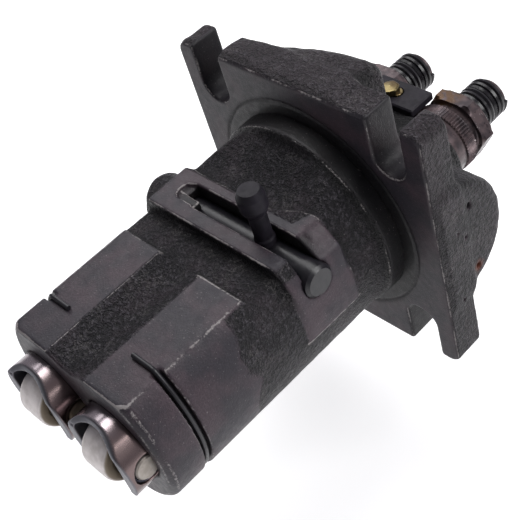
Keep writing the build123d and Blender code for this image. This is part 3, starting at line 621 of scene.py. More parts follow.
# ------------------------------------------------------------------ housing
@dataclass(frozen=True)
class HousingSizes:
    """Sizes of the cast housing."""

    cylinder_x: float = 13.2
    flange: Triple = (85.0, 82.4, 9.8)  # width, height, thickness
    flange_corner: float = 3.5
    slot: Triple = (31.1, 29.3, 5.0)  # X of its middle, Z of its round end, radius
    pilot: Pair = (30.0, 5.8)  # radius, length
    body_r: float = 29.1
    body_end: float = -84.0
    body_chamfer: float = 1.6
    pad_z: float = 18.7
    pad_inner_x: float = 7.5
    pad_start: float = -45.8
    channel_depth: float = 2.4
    cast_z: float = 16.9
    shoulder: Pair = (7.0, 2.2)  # rise towards the flange, power of its curve
    block_y: Pair = (-35.7, -21.3)
    block_z: float = 20.3
    block_r: float = 31.3
    block_x: float = 28.9
    block_low: float = -3.4
    cheek_y: float = -17.2
    cheek_x: Pair = (5.0, 19.5)
    rail_x: float = 20.5
    rail_drop: float = 0.75
    window: Triple = (-31.1, -24.5, -11.5)  # lower Y, upper Y, X of its left end
    ledge: Pair = (4.6, 2.9)  # how far the left end steps out, how far its lower side steps in
    scoop_depth: float = 1.2
    rack: Triple = (-27.5, 12.0, 4.55)  # Y, Z, radius
    rack_end: float = -25.0
    blind: Triple = (6.6, -31.2, -18.0)  # radius, outer X, inner X
    turned_start: float = -52.5
    rib_x: Triple = (42.6, 19.1, 5.9)  # reach, radius, height of its axis
    rib_z: Four = (-38.0, 41.2, 19.2, 0.4)  # lower Z, upper Z, radius, height of its axis
    rib_z_half: float = 15.4
    boss_r: float = 12.2
    boss_top: float = 31.0
    web: tuple[Triple, Triple] = ((-6.5, 28.0, -0.4), (6.5, 40.4, 10.4))
    web_hollow: float = 10.8
    inlet: Triple = (13.5, 5.19, -43.6)  # Y, radius, X of its face
    inlet_boss: float = 8.6
    inlet_depth: float = 13.0
    feed_r: float = 2.5
    clip: Triple = (-72.0, 27.3, 2.6)  # Y, radius at the bottom, width
    relief: Triple = (34.3, 0.45, 0.35)  # radius, half width, depth
    guide: Pair = (-72.0, 2.02)  # Y, radius
    barrel_pin: Pair = (-12.0, 2.02)  # Y, radius
    pin_z: float = -5.5
    screw: Triple = (36.2, 1.95, 4.0)  # Y, radius, Z of its bottom
    bores: tuple[Triple, ...] = (  # radius, lower Y, upper Y
        (12.0, -89.0, -37.0), (9.6, -38.0, -20.0), (7.05, -21.0, 5.0), (8.55, 4.0, 10.0),
        (10.5, 9.5, 17.5), (9.1, 17.0, 36.0))
    pits: tuple[Four, ...] = (  # X, Y, Z, size
        (42.3, 12.7, 10.0, 0.75), (42.3, 9.3, 2.0, 0.5), (42.3, 6.7, 5.4, 0.45),
        (42.3, 13.0, -12.4, 0.7), (42.3, 5.2, -18.0, 0.5))
    rusty_pit: int = 3


class Housing:
    """The cast housing, from the tappet end to the holder bosses."""

    lower_space = (-32.6, -85.5, -32.6), (32.6, 1.4, 32.6)  # corners of the space that is meshed
    upper_space = (-45.0, -1.2, -42.8), (44.0, 42.0, 42.8)
    quick_step, step = 0.9, 0.62

    def __init__(self, sizes: HousingSizes, finish: BlackCasting) -> None:
        """Keeps the sizes and the finish."""
        self.s = sizes
        self.finish = finish

    # ---- outer forms
    def _flat_top(self, x: Array, y: Array) -> Array:
        """Height of the flattened rack side at each point.

        Args:
            x: Places across the pump.
            y: Places along the pump.

        Returns:
            The height at each place.
        """
        s = self.s
        dip = s.channel_depth * (1 - ramp(np.abs(x), 1.5, s.pad_inner_x + 0.4))
        pads = s.pad_z - dip
        cast = s.cast_z - 0.35 * np.clip(dip, 0, 1)
        top = pads + (cast - pads) * ramp(y, s.pad_start - 0.3, s.pad_start + 1.3)
        t = np.clip((y - s.block_y[1]) / (-s.pilot[1] - s.block_y[1]), 0.0, 1.3)
        rise, power = s.shoulder
        sweep = s.block_z - 0.8 + rise * t ** power
        return np.where(y > s.block_y[1] - 1.0, sweep, top)

    def _rear(self, x: Array) -> Array:
        """Where the rack guide block ends towards the flange.

        Args:
            x: Places across the pump.

        Returns:
            Y of the block's end at each place.
        """
        s = self.s
        start, stop = s.cheek_x
        return s.block_y[1] + (s.cheek_y - s.block_y[1]) * ramp(x, start, stop)

    def lower(self, p: Array) -> Array:
        """Distance to the body, the pads, the rack guide block and the spigot.

        Args:
            p: Points, one per row.

        Returns:
            One distance per point, negative inside.
        """
        s = self.s
        x, y, z = p[:, 0], p[:, 1], p[:, 2]
        r = np.hypot(x, z)
        body = smooth_max(r - s.body_r, s.body_end - y, 0.6)
        body = smooth_max(body, (r - y + s.body_end - s.body_r + s.body_chamfer) * SLANT, 0.6)
        body = smooth_max(body, (z - self._flat_top(x, y)) * 0.97, 0.6)
        y0 = s.block_y[0]
        guide = smooth_max(smooth_max(r - s.block_r, z - s.block_z, 0.7),
                           smooth_max(y0 - y, y - self._rear(x), 0.5), 0.6)
        guide = smooth_max(guide, np.abs(x) - s.block_x, 2.4)
        guide = smooth_max(guide, s.block_low - z, 1.0)
        slope = (z - s.block_z + s.rail_drop * (x - s.rail_x)) / math.hypot(1, s.rail_drop)
        guide = smooth_max(guide, np.minimum(slope, y - s.window[1]), 0.4)
        blind_r, outer, inner = s.blind
        blind = smooth_max(np.hypot(y - s.rack[0], z - s.rack[1]) - blind_r, outer - x, 2.4)
        blind = smooth_max(blind, x - inner, 0.5)
        pilot = smooth_max(r - s.pilot[0], -s.pilot[1] - y, 0.8)
        solid = smooth_min(body, guide, 1.6)
        solid = smooth_min(solid, blind, 1.6)
        return smooth_min(solid, pilot, 1.2)

    def upper(self, p: Array) -> Array:
        """Distance to the flange, the ribs, the holder bosses and the web between them.

        Args:
            p: Points, one per row.

        Returns:
            One distance per point, negative inside.
        """
        s = self.s
        x, y, z = p[:, 0], p[:, 1], p[:, 2]
        fx, fz, ft = s.flange
        qx = np.abs(x) - fx / 2 + s.flange_corner
        qz = np.abs(z) - fz / 2 + s.flange_corner
        outline = np.hypot(np.maximum(qx, 0), np.maximum(qz, 0)) + np.minimum(
            np.maximum(qx, qz), 0) - s.flange_corner
        flange = smooth_max(outline, np.abs(y - ft / 2) - ft / 2, 1.0)
        length, radius, high = s.rib_x
        vault_x = smooth_max(np.hypot(y - high, z) - radius, np.abs(x) - length, 2.8)
        low, top, radius, high = s.rib_z
        round_top = np.hypot(x, y - high) - radius
        flat_top = smooth_max(smooth_max(y - high - radius, x - s.rib_z_half, 3.0),
                              0.91 * (y - high - radius) - 0.42 * (x + 1.0), 6.0)
        vault_z = round_top + (flat_top - round_top) * ramp(z, 0.0, 18.0)
        vault_z = smooth_max(vault_z, np.abs(z - (low + top) / 2) - (top - low) / 2, 5.0)
        boss = np.hypot(np.abs(x) - s.cylinder_x, z) - s.boss_r
        boss = smooth_min(boss, np.maximum(np.abs(x) - s.cylinder_x, np.abs(z) - s.boss_r + 1.5), 3.0)
        boss = smooth_max(boss, y - s.boss_top, 1.0)
        ribs = smooth_min(smooth_min(vault_x, vault_z, 5.0), boss, 6.0)
        ribs = smooth_max(ribs, 3.0 - y, 0.5)
        solid = smooth_min(flange, ribs, 3.0)
        inlet_y, _, face = s.inlet
        inlet = smooth_max(np.hypot(y - inlet_y, z) - s.inlet_boss, face - x, 0.8)
        inlet = smooth_max(inlet, x + 30.0, 0.5)
        solid = smooth_min(solid, inlet, 2.0)
        web = smooth_max(block(p, *s.web, 0.6), s.web_hollow - np.hypot(np.abs(x) - s.cylinder_x, z), 0.3)
        solid = np.minimum(solid, np.where(y > s.boss_top - 2, web, FAR))
        return smooth_max(solid, -within(self._slots(x, z), y - ft - 12.0), 0.9)

    def _slots(self, x: Array, z: Array) -> Array:
        """Distance to the four open stud slots, seen along Y.

        Args:
            x: Places across the flange.
            z: Heights on the flange.

        Returns:
            One distance per place, negative inside a slot.
        """
        along, down, radius = self.s.slot
        side = np.abs(x) - along
        return np.where(np.abs(z) > down, np.abs(side), np.hypot(side, np.abs(z) - down)) - radius

    def bores(self, p: Array) -> Array:
        """Distance to everything that is bored or cut out.

        Args:
            p: Points, one per row.

        Returns:
            One distance per point, negative in a hole.
        """
        s = self.s
        x, y, z = p[:, 0], p[:, 1], p[:, 2]
        across = np.abs(x) - s.cylinder_x
        cuts = [within(np.hypot(across, z) - radius, np.abs(y - (low + high) / 2) - (high - low) / 2)
                for radius, low, high in s.bores]
        rack_y, rack_z, rack_r = s.rack
        cuts.append(within(np.hypot(y - rack_y, z - rack_z) - rack_r, s.rack_end - x))
        low, high, left = s.window
        out, up = s.ledge
        ragged = 0.42 * fractal(p, 2.2, 3, 5)
        above = rack_z - z
        cuts.append(within(low - y, y - high, left - x + ragged, above))
        cuts.append(within(low + up - y + ragged, y - high, left - out - x + ragged, above))
        cuts.append(within(self._scoop(x, y) - ragged, s.block_z - s.scoop_depth - z + 0.5 * ragged))
        inlet_y, inlet_r, face = s.inlet
        line = np.hypot(y - inlet_y, z)
        cuts.append(within(line - inlet_r, x - face - s.inlet_depth))
        cuts.append(within(line - s.feed_r, x - s.cylinder_x + 4, face - x))
        clip_y, clip_r, clip_w = s.clip
        around = np.hypot(x, z)
        cuts.append(within(clip_r - around, np.abs(y - clip_y) - clip_w / 2))
        ring, half, depth = s.relief
        cuts.append(within(np.abs(around - ring) - half, np.abs(y) - depth))
        for pin_y, radius in (s.guide, s.barrel_pin):
            cuts.append(within(np.hypot(across, y - pin_y) - radius, z - s.pin_z))
        screw_y, screw_r, bottom = s.screw
        cuts.append(within(np.hypot(x, y - screw_y) - screw_r, bottom - z))
        cuts += [np.sqrt(((x - px) / 2.2) ** 2 + (y - py) ** 2 + ((z - pz) / 1.5) ** 2) - size
                 for px, py, pz, size in s.pits]
        return np.min(cuts, 0)

    def _scoop(self, x: Array, y: Array) -> Array:
        """Distance to the shallow scoop round the window's left end, seen along Z.

        Args:
            x: Places across the pump.
            y: Places along the pump.

        Returns:
            One distance per place, negative in the scoop.
        """
        low, high, left = self.s.window
        out, radius = self.s.ledge
        return np.hypot(x - np.clip(x, left - out, left + 1.0), y - (low + high) / 2) - radius

    # ---- skin
    def cast_skin(self, p: Array) -> Array:
        """Share of rough cast skin at each point of the surface, from 0 to 1.

        Args:
            p: Points, one per row.

        Returns:
            One share per point.
        """
        s = self.s
        x, y, z = p[:, 0], p[:, 1], p[:, 2]
        r = np.hypot(x, z)
        wobble = 1.6 * fractal(p, 9.0, 3, 11)

        def near(gap: Array, width: float = 0.35) -> Array:
            """1 where a gap is within a width, and 0 past it."""
            return 1 - ramp(np.abs(gap), width, width + 0.25)

        pads = near(z - s.pad_z) * ramp(s.pad_start - y, -0.3, 0.2) \
            * ramp(np.abs(x) - s.pad_inner_x + 0.3 * wobble, -0.1, 0.3)
        rear = s.block_y[1] - 0.5 + (s.cheek_y - s.block_y[1] + 0.5) * ramp(x, 16.5, 19.0)
        inside_block = ramp(y, s.block_y[0] - 0.4, s.block_y[0]) * ramp(rear + 0.3 * wobble - y, -0.3, 0.0)
        slope = z - s.block_z + s.rail_drop * (x - s.rail_x)
        top = inside_block * np.maximum(near(z - s.block_z), near(slope, 0.8)
                                        * ramp(x, s.rail_x - 1, s.rail_x))
        low = s.block_low + 0.3 * wobble
        face = inside_block * near(x - s.block_x, 1.3) * ramp(z, low, low + 0.4)
        front = near(y - s.block_y[0], 0.3) * ramp(z, 17.4, 18.2) * 0.7
        turned = near(r - s.body_r, 0.3) * ramp(s.turned_start + 2.2 * wobble - y, -0.4, 0.4)
        end = ramp(s.body_end + s.body_chamfer + 0.5 - y, -0.2, 0.2)
        dip = (1 - ramp(np.abs(x) - s.pad_inner_x, -0.6, 0.2)) * ramp(z, 12.0, 13.0)
        end = end * (1 - dip * ramp(y, s.body_end + 0.4, s.body_end + 0.9))
        groove = near(y - s.clip[0], 1.4) * ramp(r, s.clip[1] - 0.6, s.clip[1] - 0.3)
        pilot = near(r - s.pilot[0], 0.5) * ramp(y, -s.pilot[1] - 0.1, -s.pilot[1] + 0.3)
        mount = near(y, 0.35)
        bosses = near(y - s.boss_top, 0.3)
        seat = near(x - s.inlet[2], 0.3)
        spot = near(y - s.flange[2], 0.5) * (1 - ramp(np.hypot(np.abs(x) - s.slot[0],
                    np.abs(z) - s.slot[1]), 8.6, 8.8))
        bore = 1 - ramp(np.abs(self.bores(p)), 0.1, 0.3)
        walls = near(self._slots(x, z), 0.5) * ramp(y, -0.5, 0.5) * ramp(s.flange[2] + 1 - y, 0, 0.5)
        smooth = np.max([walls, pads, top, face, front, turned, end, groove, pilot, mount, bosses, seat,
                         spot, bore], 0)
        return 1 - np.clip(smooth, 0, 1)

    def rims(self, p: Array) -> Array:
        """How close each point is to an edge that handling rubs bright, from 0 to 1.

        Args:
            p: Points, one per row.

        Returns:
            One value per point.
        """
        s = self.s
        x, y, z = p[:, 0], p[:, 1], p[:, 2]
        r = np.hypot(x, z)
        pad, end, bulge, top = z - s.pad_z, y - s.body_end, r - s.body_r, z - s.block_z
        cone = (bulge - end + s.body_chamfer) * SLANT
        front = np.where(y < s.pad_start + 1.5, 0.0, FAR)
        block_only = np.where((y > s.block_y[0] - 1) & (y < s.cheek_y + 1), 0.0, FAR)
        width, height, thick = s.flange
        side = np.minimum(np.abs(np.abs(x) - width / 2), np.abs(np.abs(z) - height / 2))
        slot = self._slots(x, z)
        low, high, left = s.window
        ledge = low + s.ledge[1]
        window = np.minimum(np.abs(y - low), np.abs(y - high)) + FAR * (x < left)
        inner = np.minimum(np.abs(x - left), np.abs(y - ledge))
        inner_only = block_only + FAR * (np.abs(y - (low + high) / 2) > 3.2)
        cheek = x - s.block_x
        edges = (
            # machined pads
            (pad, cone, front, 1.1),
            (pad, end, front + FAR * (np.abs(x) < s.pad_inner_x), 1.15),
            (pad, bulge, front, 0.86),
            (pad, x + s.pad_inner_x, front, 0.82),
            (pad, x - s.pad_inner_x, front, 0.72),
            (pad, y - s.pad_start, 0.0, 0.88),
            # end cone and clip groove
            (cone, bulge, 0.0, 0.78),
            (cone, end, 0.0, 0.80),
            (bulge, np.abs(y - s.clip[0]) - s.clip[2] / 2, 0.0, 0.80),
            # rack guide block
            (top, y - s.block_y[0], 0.0, 0.94),
            (top, y - self._rear(x), 0.0, 0.80),
            (cheek, y - s.block_y[0] - 1.5, block_only, 0.72),
            (cheek, z + 3.2, block_only, 1.05),
            (cheek, y - s.cheek_y, block_only, 0.85),
            # window over the rack
            (top, window, 0.0, 0.92),
            (top, self._scoop(x, y), 0.0, 0.92),
            (top + s.scoop_depth, inner, inner_only, 0.9),
            # spigot and flange
            (r - s.pilot[0], y + s.pilot[1], 0.0, 0.84),
            (side, y, 0.0, 0.97),
            (side, y - thick, 0.0, 0.78),
            (slot, y, 0.0, 0.95),
        )
        return np.max([weight * (1 - ramp(np.hypot(a, b) + away, 0.2, 1.1))
                       for a, b, away, weight in edges], 0)

    def _skin(self, p: Array, solid: Array) -> Array:
        """Adds the cast skin's unevenness where the point is near the surface.

        Args:
            p: Points, one per row.
            solid: Distance at each point before the skin.

        Returns:
            The distance with the skin.
        """
        out = solid.copy()
        near = np.abs(solid) < 1.2
        q = p[near]
        lumps = 0.13 * fractal(q, 2.6, 3, 3) + 0.10 * fractal(q, 7.0, 2, 8)
        out[near] += self.cast_skin(q) * lumps
        return out

    def lower_solid(self, p: Array) -> Array:
        """Distance to the finished part in front of the mounting face."""
        solid = smooth_max(self.lower(p), -self.bores(p), 0.35)
        return within(self._skin(p, solid), p[:, 1] - 0.5)

    def upper_solid(self, p: Array) -> Array:
        """Distance to the finished part behind the mounting face."""
        solid = smooth_max(self.upper(p), -self.bores(p), 0.35)
        return self._skin(p, solid)

    def layers(self, verts: Array, form: Field) -> dict[str, Array]:
        """Finds the rough and rubbed places, the painted shade in recesses, the rust stain and the top
        lightened with painted light.

        Args:
            verts: Vertices in millimetres.
            form: Distance to the piece before anything is bored.

        Returns:
            One number per vertex for each attribute.
        """
        grad = np.zeros(verts.shape, np.float32)
        for i in range(3):
            step = np.zeros(3, np.float32)
            step[i] = 0.7
            grad[:, i] = form(verts + step) - form(verts - step)
        normal = grad / np.maximum(np.linalg.norm(grad, axis=1, keepdims=True), 1e-6)
        # painted shade: how much the surface round each point closes it in, like ambient occlusion
        shade = np.zeros(len(verts), np.float32)
        for reach, weight in ((1.5, 0.25), (4.0, 0.35), (9.0, 0.40)):
            q = verts + normal * reach
            free = np.minimum(self.lower(q), self.upper(q))
            shade += weight * np.clip(1 - free / reach, 0, 1)
        around = np.hypot(verts[:, 0], verts[:, 2])
        # painted shade on the spigot next to the flange
        collar = ramp(around, 28.6, 29.4) * ramp(-around, -35.5, -32.0) * ramp(verts[:, 1], -8.0, -6.0) \
            * ramp(-verts[:, 1], -1.0, 0.0)
        stain = np.array(self.s.pits[self.s.rusty_pit][:3], np.float32)
        rusty = 1 - ramp(np.linalg.norm(verts - stain, axis=1) + 0.5 * noise(verts, 0.8, 2), 0.8, 2.6)
        return {"cast": self.cast_skin(verts), "wear": self.rims(verts),
                # painted shade in recesses and on the spigot beside the flange
                "painted_shade": np.clip(shade * 1.3 + 0.35 * collar, 0, 1), "rusty": rusty,
                # painted light: share of the lighter warm skin, rising towards the top
                "warm": ramp(verts[:, 2], 28.0, 38.0)}

    def build(self) -> list[bpy.types.Object]:
        """Meshes both parts and lets them stand for the plain housing.

        Returns:
            The two pieces.
        """
        material = self.finish.material()
        step = self.step
        parts = []
        for name, form, solid, space in (
                ("housing_body", self.lower, self.lower_solid, self.lower_space),
                ("housing_flange", self.upper, self.upper_solid, self.upper_space)):
            verts, faces = FieldMesher(*space, step).build(solid)
            parts.append(to_object(name, verts, faces, "housing", material, 180.0,
                                   **self.layers(verts, form)))
            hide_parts("pump_housing")
        return parts


# ------------------------------------------------------------------ tappets
@dataclass(frozen=True)
class TappetSizes:
    """Sizes of one roller tappet."""

    radius: float = 11.95
    end: float = -91.0
    top: float = -62.0
    fall: Triple = (7.0, 12.2, 2.9)  # Z where the rim starts to fall, where it ends, drop
    pocket_r: float = 10.5
    pocket_half: float = 7.7
    pocket_top: float = -76.5
    web_top: float = -72.0
    cavity_r: float = 9.6
    roller_y: float = -85.5
    roller_r: float = 8.0
    roller_w: float = 9.2
    bush_r: float = 5.05
    pin_r: float = 3.52
    mouth: Pair = (10.4, 0.7)  # X where the pin's hole flares, by how much
    groove: Four = (-81.3, -69.7, 2.1, 10.35)  # lower Y, upper Y, half width, how far in
    dimple: Triple = (-8.0, 7.4, 0.55)  # X, Z, size


class Tappet:
    """Cup of one roller tappet, with its rim scalloped for the cam, and its roller."""

    quick_step, step = 0.6, 0.36
    spare = 1.0  # room left round a piece in the space that is meshed

    def __init__(self, number: int, axis_x: float, sizes: TappetSizes, frame: dict) -> None:
        """Keeps which tappet it is, its axis, its sizes and the frame.

        Args:
            number: Number of the cylinder.
            axis_x: Place of its axis.
            sizes: Sizes of the tappet.
            frame: The loaded frame.
        """
        self.number = number
        self.x = axis_x
        self.s = sizes
        self.nodes = frame["nodes"]

    def rim(self, z: Array) -> Array:
        """Height of the rim, which falls away towards both cam sides."""
        start, stop, drop = self.s.fall
        return self.s.end + drop * ramp(np.abs(z), start, stop)

    def cup(self, p: Array) -> Array:
        """Distance to the cup.

        Args:
            p: Points, one per row.

        Returns:
            One distance per point, negative inside.
        """
        s = self.s
        x, y, z = p[:, 0] - self.x, p[:, 1], p[:, 2]
        r = np.hypot(x, z)
        solid = smooth_max(smooth_max(r - s.radius, (self.rim(z) - y) * 0.85, 0.45), y - s.top, 0.5)
        pocket = within(smooth_max(r - s.pocket_r, np.abs(x) - s.pocket_half, 1.2), y - s.pocket_top)
        hole = np.minimum(pocket, within(r - s.cavity_r, s.web_top - y))
        start, wider = s.mouth
        pin = np.hypot(y - s.roller_y, z) - s.pin_r - wider * ramp(np.abs(x), start, start + 0.3)
        hole = np.minimum(hole, pin)
        low, high, half, depth = s.groove
        slot = np.hypot(x, y - np.clip(y, low + half, high - half)) - half
        hole = np.minimum(hole, within(slot, z + depth))
        dx, dz, size = s.dimple
        mark = np.sqrt((x - dx) ** 2 + (z - dz) ** 2 + (y - self.rim(z)) ** 2) - size
        return smooth_max(solid, -np.minimum(hole, mark), 0.3)

    def roller(self, p: Array) -> Array:
        """Distance to the roller, a ring with rounded rims.

        Args:
            p: Points, one per row.

        Returns:
            One distance per point, negative inside.
        """
        s = self.s
        x = p[:, 0] - self.x
        r = np.hypot(p[:, 1] - s.roller_y, p[:, 2])
        ring = smooth_max(r - s.roller_r, np.abs(x) - s.roller_w / 2, 1.3)
        return within(ring, s.bush_r - r)

    def build(self, steel: Material, hard: Material) -> None:
        """Meshes the cup and the roller and lets them stand for the plain ones.

        Args:
            steel: Finish of the cup.
            hard: Finish of the roller.
        """
        s = self.s
        step = self.step
        wide = s.radius + 0.85
        verts, faces = FieldMesher((self.x - wide, s.end - self.spare, -wide),
                                   (self.x + wide, s.top + self.spare, wide), step).build(self.cup)
        r = np.hypot(verts[:, 0] - self.x, verts[:, 2])
        on_rim = 1 - ramp(np.abs(verts[:, 1] - self.rim(verts[:, 2])), 0.1, 0.5)
        inside = ramp(s.radius - 0.35 - r, 0.0, 0.3) * (1 - on_rim)
        tan = ramp(verts[:, 0] - self.x + noise(verts, 3.0, 4), 0.0, 7.5)
        name = f"tappet_body_{self.number}"
        cup = to_object(f"tappet_cup_{self.number}", verts, faces, body_of(self.nodes[name])[0], steel,
                        180.0, rim=on_rim, inside=inside, tan=tan)
        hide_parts(name)
        half, reach = s.roller_w / 2 + self.spare, s.roller_r + self.spare
        verts, faces = FieldMesher((self.x - half, s.roller_y - reach, -reach),
                                   (self.x + half, s.roller_y + reach, reach), step).build(self.roller)
        end = ramp(np.abs(verts[:, 0] - self.x), s.roller_w / 2 - 0.35, s.roller_w / 2 - 0.05)
        name = f"tappet_roller_{self.number}"
        roller = to_object(f"roller_{self.number}", verts, faces, body_of(self.nodes[name])[0], hard,
                           180.0, end=end)
        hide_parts(name)


@dataclass(frozen=True)
class CupSteel:
    """Polished cup: mirror-like wall, satin rim and dull inside."""

    wall: Triple = (0.27, 0.235, 0.25)
    warm: Triple = (0.165, 0.125, 0.122)
    rim: Triple = (0.145, 0.145, 0.16)
    inner: Triple = (0.075, 0.075, 0.095)

    def material(self) -> Material:
        """Builds the material from the attributes rim, inside and tan.

        Returns:
            The material.
        """
        n = Finish("cup_steel")
        rim, inner = n.attribute("rim"), n.attribute("inside")
        base = n.mix(rim, n.mix(n.attribute("tan"), self.wall, self.warm), self.rim)
        base = n.mix(inner, base, self.inner)
        lines = n.noise(6.0, 3.0, 0.6, stretch=(1.0, 0.15, 1.0))
        rough = n.plus(n.band(lines, 0.35, 0.65, 0.16, 0.24), n.times(n.math("MAXIMUM", rim, inner), 0.28))
        return n.finish(Base_Color=base, Roughness=rough, Metallic=1.0, Normal=n.bump(lines, 0.004))


@dataclass(frozen=True)
class RollerSteel:
    """Pale ground roller with brown end faces."""

    tread: Triple = (0.72, 0.675, 0.66)
    end: Triple = (0.16, 0.125, 0.085)

    def material(self) -> Material:
        """Builds the material from the attribute end.

        Returns:
            The material.
        """
        n = Finish("roller_steel")
        tread = n.mix(n.band(n.noise(3.0, 3.0), 0.35, 0.65, 0.0, 0.25), self.tread, self.end)
        return n.finish(Base_Color=n.mix(n.attribute("end"), tread, self.end), Roughness=0.42,
                        Metallic=0.35, Normal=n.bump(n.noise(0.6, 3.0), 0.02))


@dataclass(frozen=True)
class LockScrew:
    """Small brass screw with a flat-sided head that holds the lock plate."""

    centre: Pair = (-1.6, 35.6)
    head_r: float = 2.7
    head_z: Pair = (12.7, 15.0)
    shank: Triple = (36.2, 1.85, 4.6)  # Y, radius, lower Z
    turned: float = 0.35
    space: tuple[Triple, Triple] = ((-4.0, 32.0, 4.0), (4.0, 40.0, 15.8))
    step: float = 0.22

    def solid(self, p: Array) -> Array:
        """Distance to the screw.

        Args:
            p: Points, one per row.

        Returns:
            One distance per point, negative inside.
        """
        x, y, z = p[:, 0] - self.centre[0], p[:, 1] - self.centre[1], p[:, 2]
        r = np.hypot(x, y)
        sides = np.max([x * math.cos(a) + y * math.sin(a)
                        for a in np.arange(6) * math.pi / 3 + self.turned], 0) - self.head_r * 0.93
        low, high = self.head_z
        head = smooth_max(smooth_max(r - self.head_r, sides, 0.3),
                          within(low - z, z - high + 0.12 * r), 0.4)
        shank_y, radius, bottom = self.shank
        shank = within(np.hypot(p[:, 0], p[:, 1] - shank_y) - radius, bottom - z, z - low - 0.3)
        return np.minimum(head, shank)

    def build(self, material: Material) -> None:
        """Meshes the screw and lets it stand for the plain one.

        Args:
            material: Finish of the screw.
        """
        verts, faces = FieldMesher(*self.space, self.step).build(self.solid)
        screw = to_object("brass_screw", verts, faces, "housing", material, 25.0)
        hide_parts("lock_plate_screw")


# ------------------------------------------------------------------ delivery valve holders
class Form(Graph):
    """A geometry tree built in code and baked to a plain mesh."""

    def __init__(self, name: str) -> None:
        """Starts an empty tree with a geometry output.

        Args:
            name: Name of the tree.
        """
        super().__init__(bpy.data.node_groups.new(name, "GeometryNodeTree"))
        self.tree.interface.new_socket("Geometry", in_out="OUTPUT", socket_type="NodeSocketGeometry")
        self.entry = self.add("NodeGroupInput")
        self.exit = self.add("NodeGroupOutput")
        self.values: dict[str, float | int] = {}

    def size(self, name: str, value: float | int) -> Socket:
        """Adds a named input and returns its socket inside the tree.

        Args:
            name: Name of the input.
            value: Its value; a whole number makes an integer input.

        Returns:
            The socket.
        """
        kind = "NodeSocketInt" if isinstance(value, int) else "NodeSocketFloat"
        item = self.tree.interface.new_socket(name, in_out="INPUT", socket_type=kind)
        self.values[item.identifier] = value
        return next(s for s in self.entry.outputs if s.identifier == item.identifier)

    def bake(self, name: str, geometry: Socket, material: Material, place: Triple, body: str,
             smooth: float = 30.0) -> bpy.types.Object:
        """Ends the tree, evaluates it and keeps the result as a plain mesh.

        Args:
            name: Name of the piece.
            geometry: Last geometry socket.
            material: Finish of the piece.
            place: Where the tree's own origin goes; its Z turns to Y.
            body: Body of the frame that it rides on.
            smooth: Angle in degrees above which an edge stays sharp.

        Returns:
            The object, which stands at the origin.
        """
        real = self.add("GeometryNodeRealizeInstances", {"Geometry": geometry})
        last = self.add("GeometryNodeSetMaterial", {"Geometry": real.outputs[0], "Material": material})
        self.feed(self.exit.inputs[0], last.outputs[0])
        holder = bpy.data.objects.new(name, bpy.data.meshes.new(name))
        bpy.context.scene.collection.objects.link(holder)
        modifier = holder.modifiers.new(name, "NODES")
        modifier.node_group = self.tree
        for identifier, value in self.values.items():
            modifier[identifier] = value
        graph = bpy.context.evaluated_depsgraph_get()
        mesh = bpy.data.meshes.new_from_object(holder.evaluated_get(graph))
        holder.modifiers.remove(modifier)
        holder.data = mesh
        mesh.transform(Matrix.Translation([v * MM for v in place]) @ Matrix.Rotation(-math.pi / 2, 4, "X"))
        work = bmesh.new()
        work.from_mesh(mesh)
        bmesh.ops.remove_doubles(work, verts=work.verts, dist=1e-6)
        bmesh.ops.recalc_face_normals(work, faces=work.faces)
        work.to_mesh(mesh)
        work.free()
        mesh.shade_smooth()
        mesh.set_sharp_from_angle(angle=math.radians(smooth))
        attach(holder, body)
        LOG.info("%s: %d faces on %s", name, len(mesh.polygons), body)
        return holder


@dataclass(frozen=True)
class HolderSizes:
    """Sizes of one delivery valve holder."""

    skirt_r: float = 8.98
    skirt_y: float = 23.3
    barrel_r: float = 9.8
    boss_y: float = 31.1
    collar_r: float = 10.3
    collar_y: Pair = (36.0, 40.4)
    teeth: int = 66
    tooth: float = 0.75
    waist_r: float = 8.3
    hex_flats: float = 19.0
    hex_y: Pair = (42.5, 47.0)
    outlet_r: float = 6.0
    outlet_y: Pair = (48.2, 59.8)
    pitch: float = 1.5
    chamber: Triple = (6.0, 4.6, 1.4)  # radii of the spring chamber, its neck and the outlet bore
    stain: Four = (-5.0, 45.0, 8.5, 6.5)  # X from the axis, Y, Z, reach
    segments: int = 144


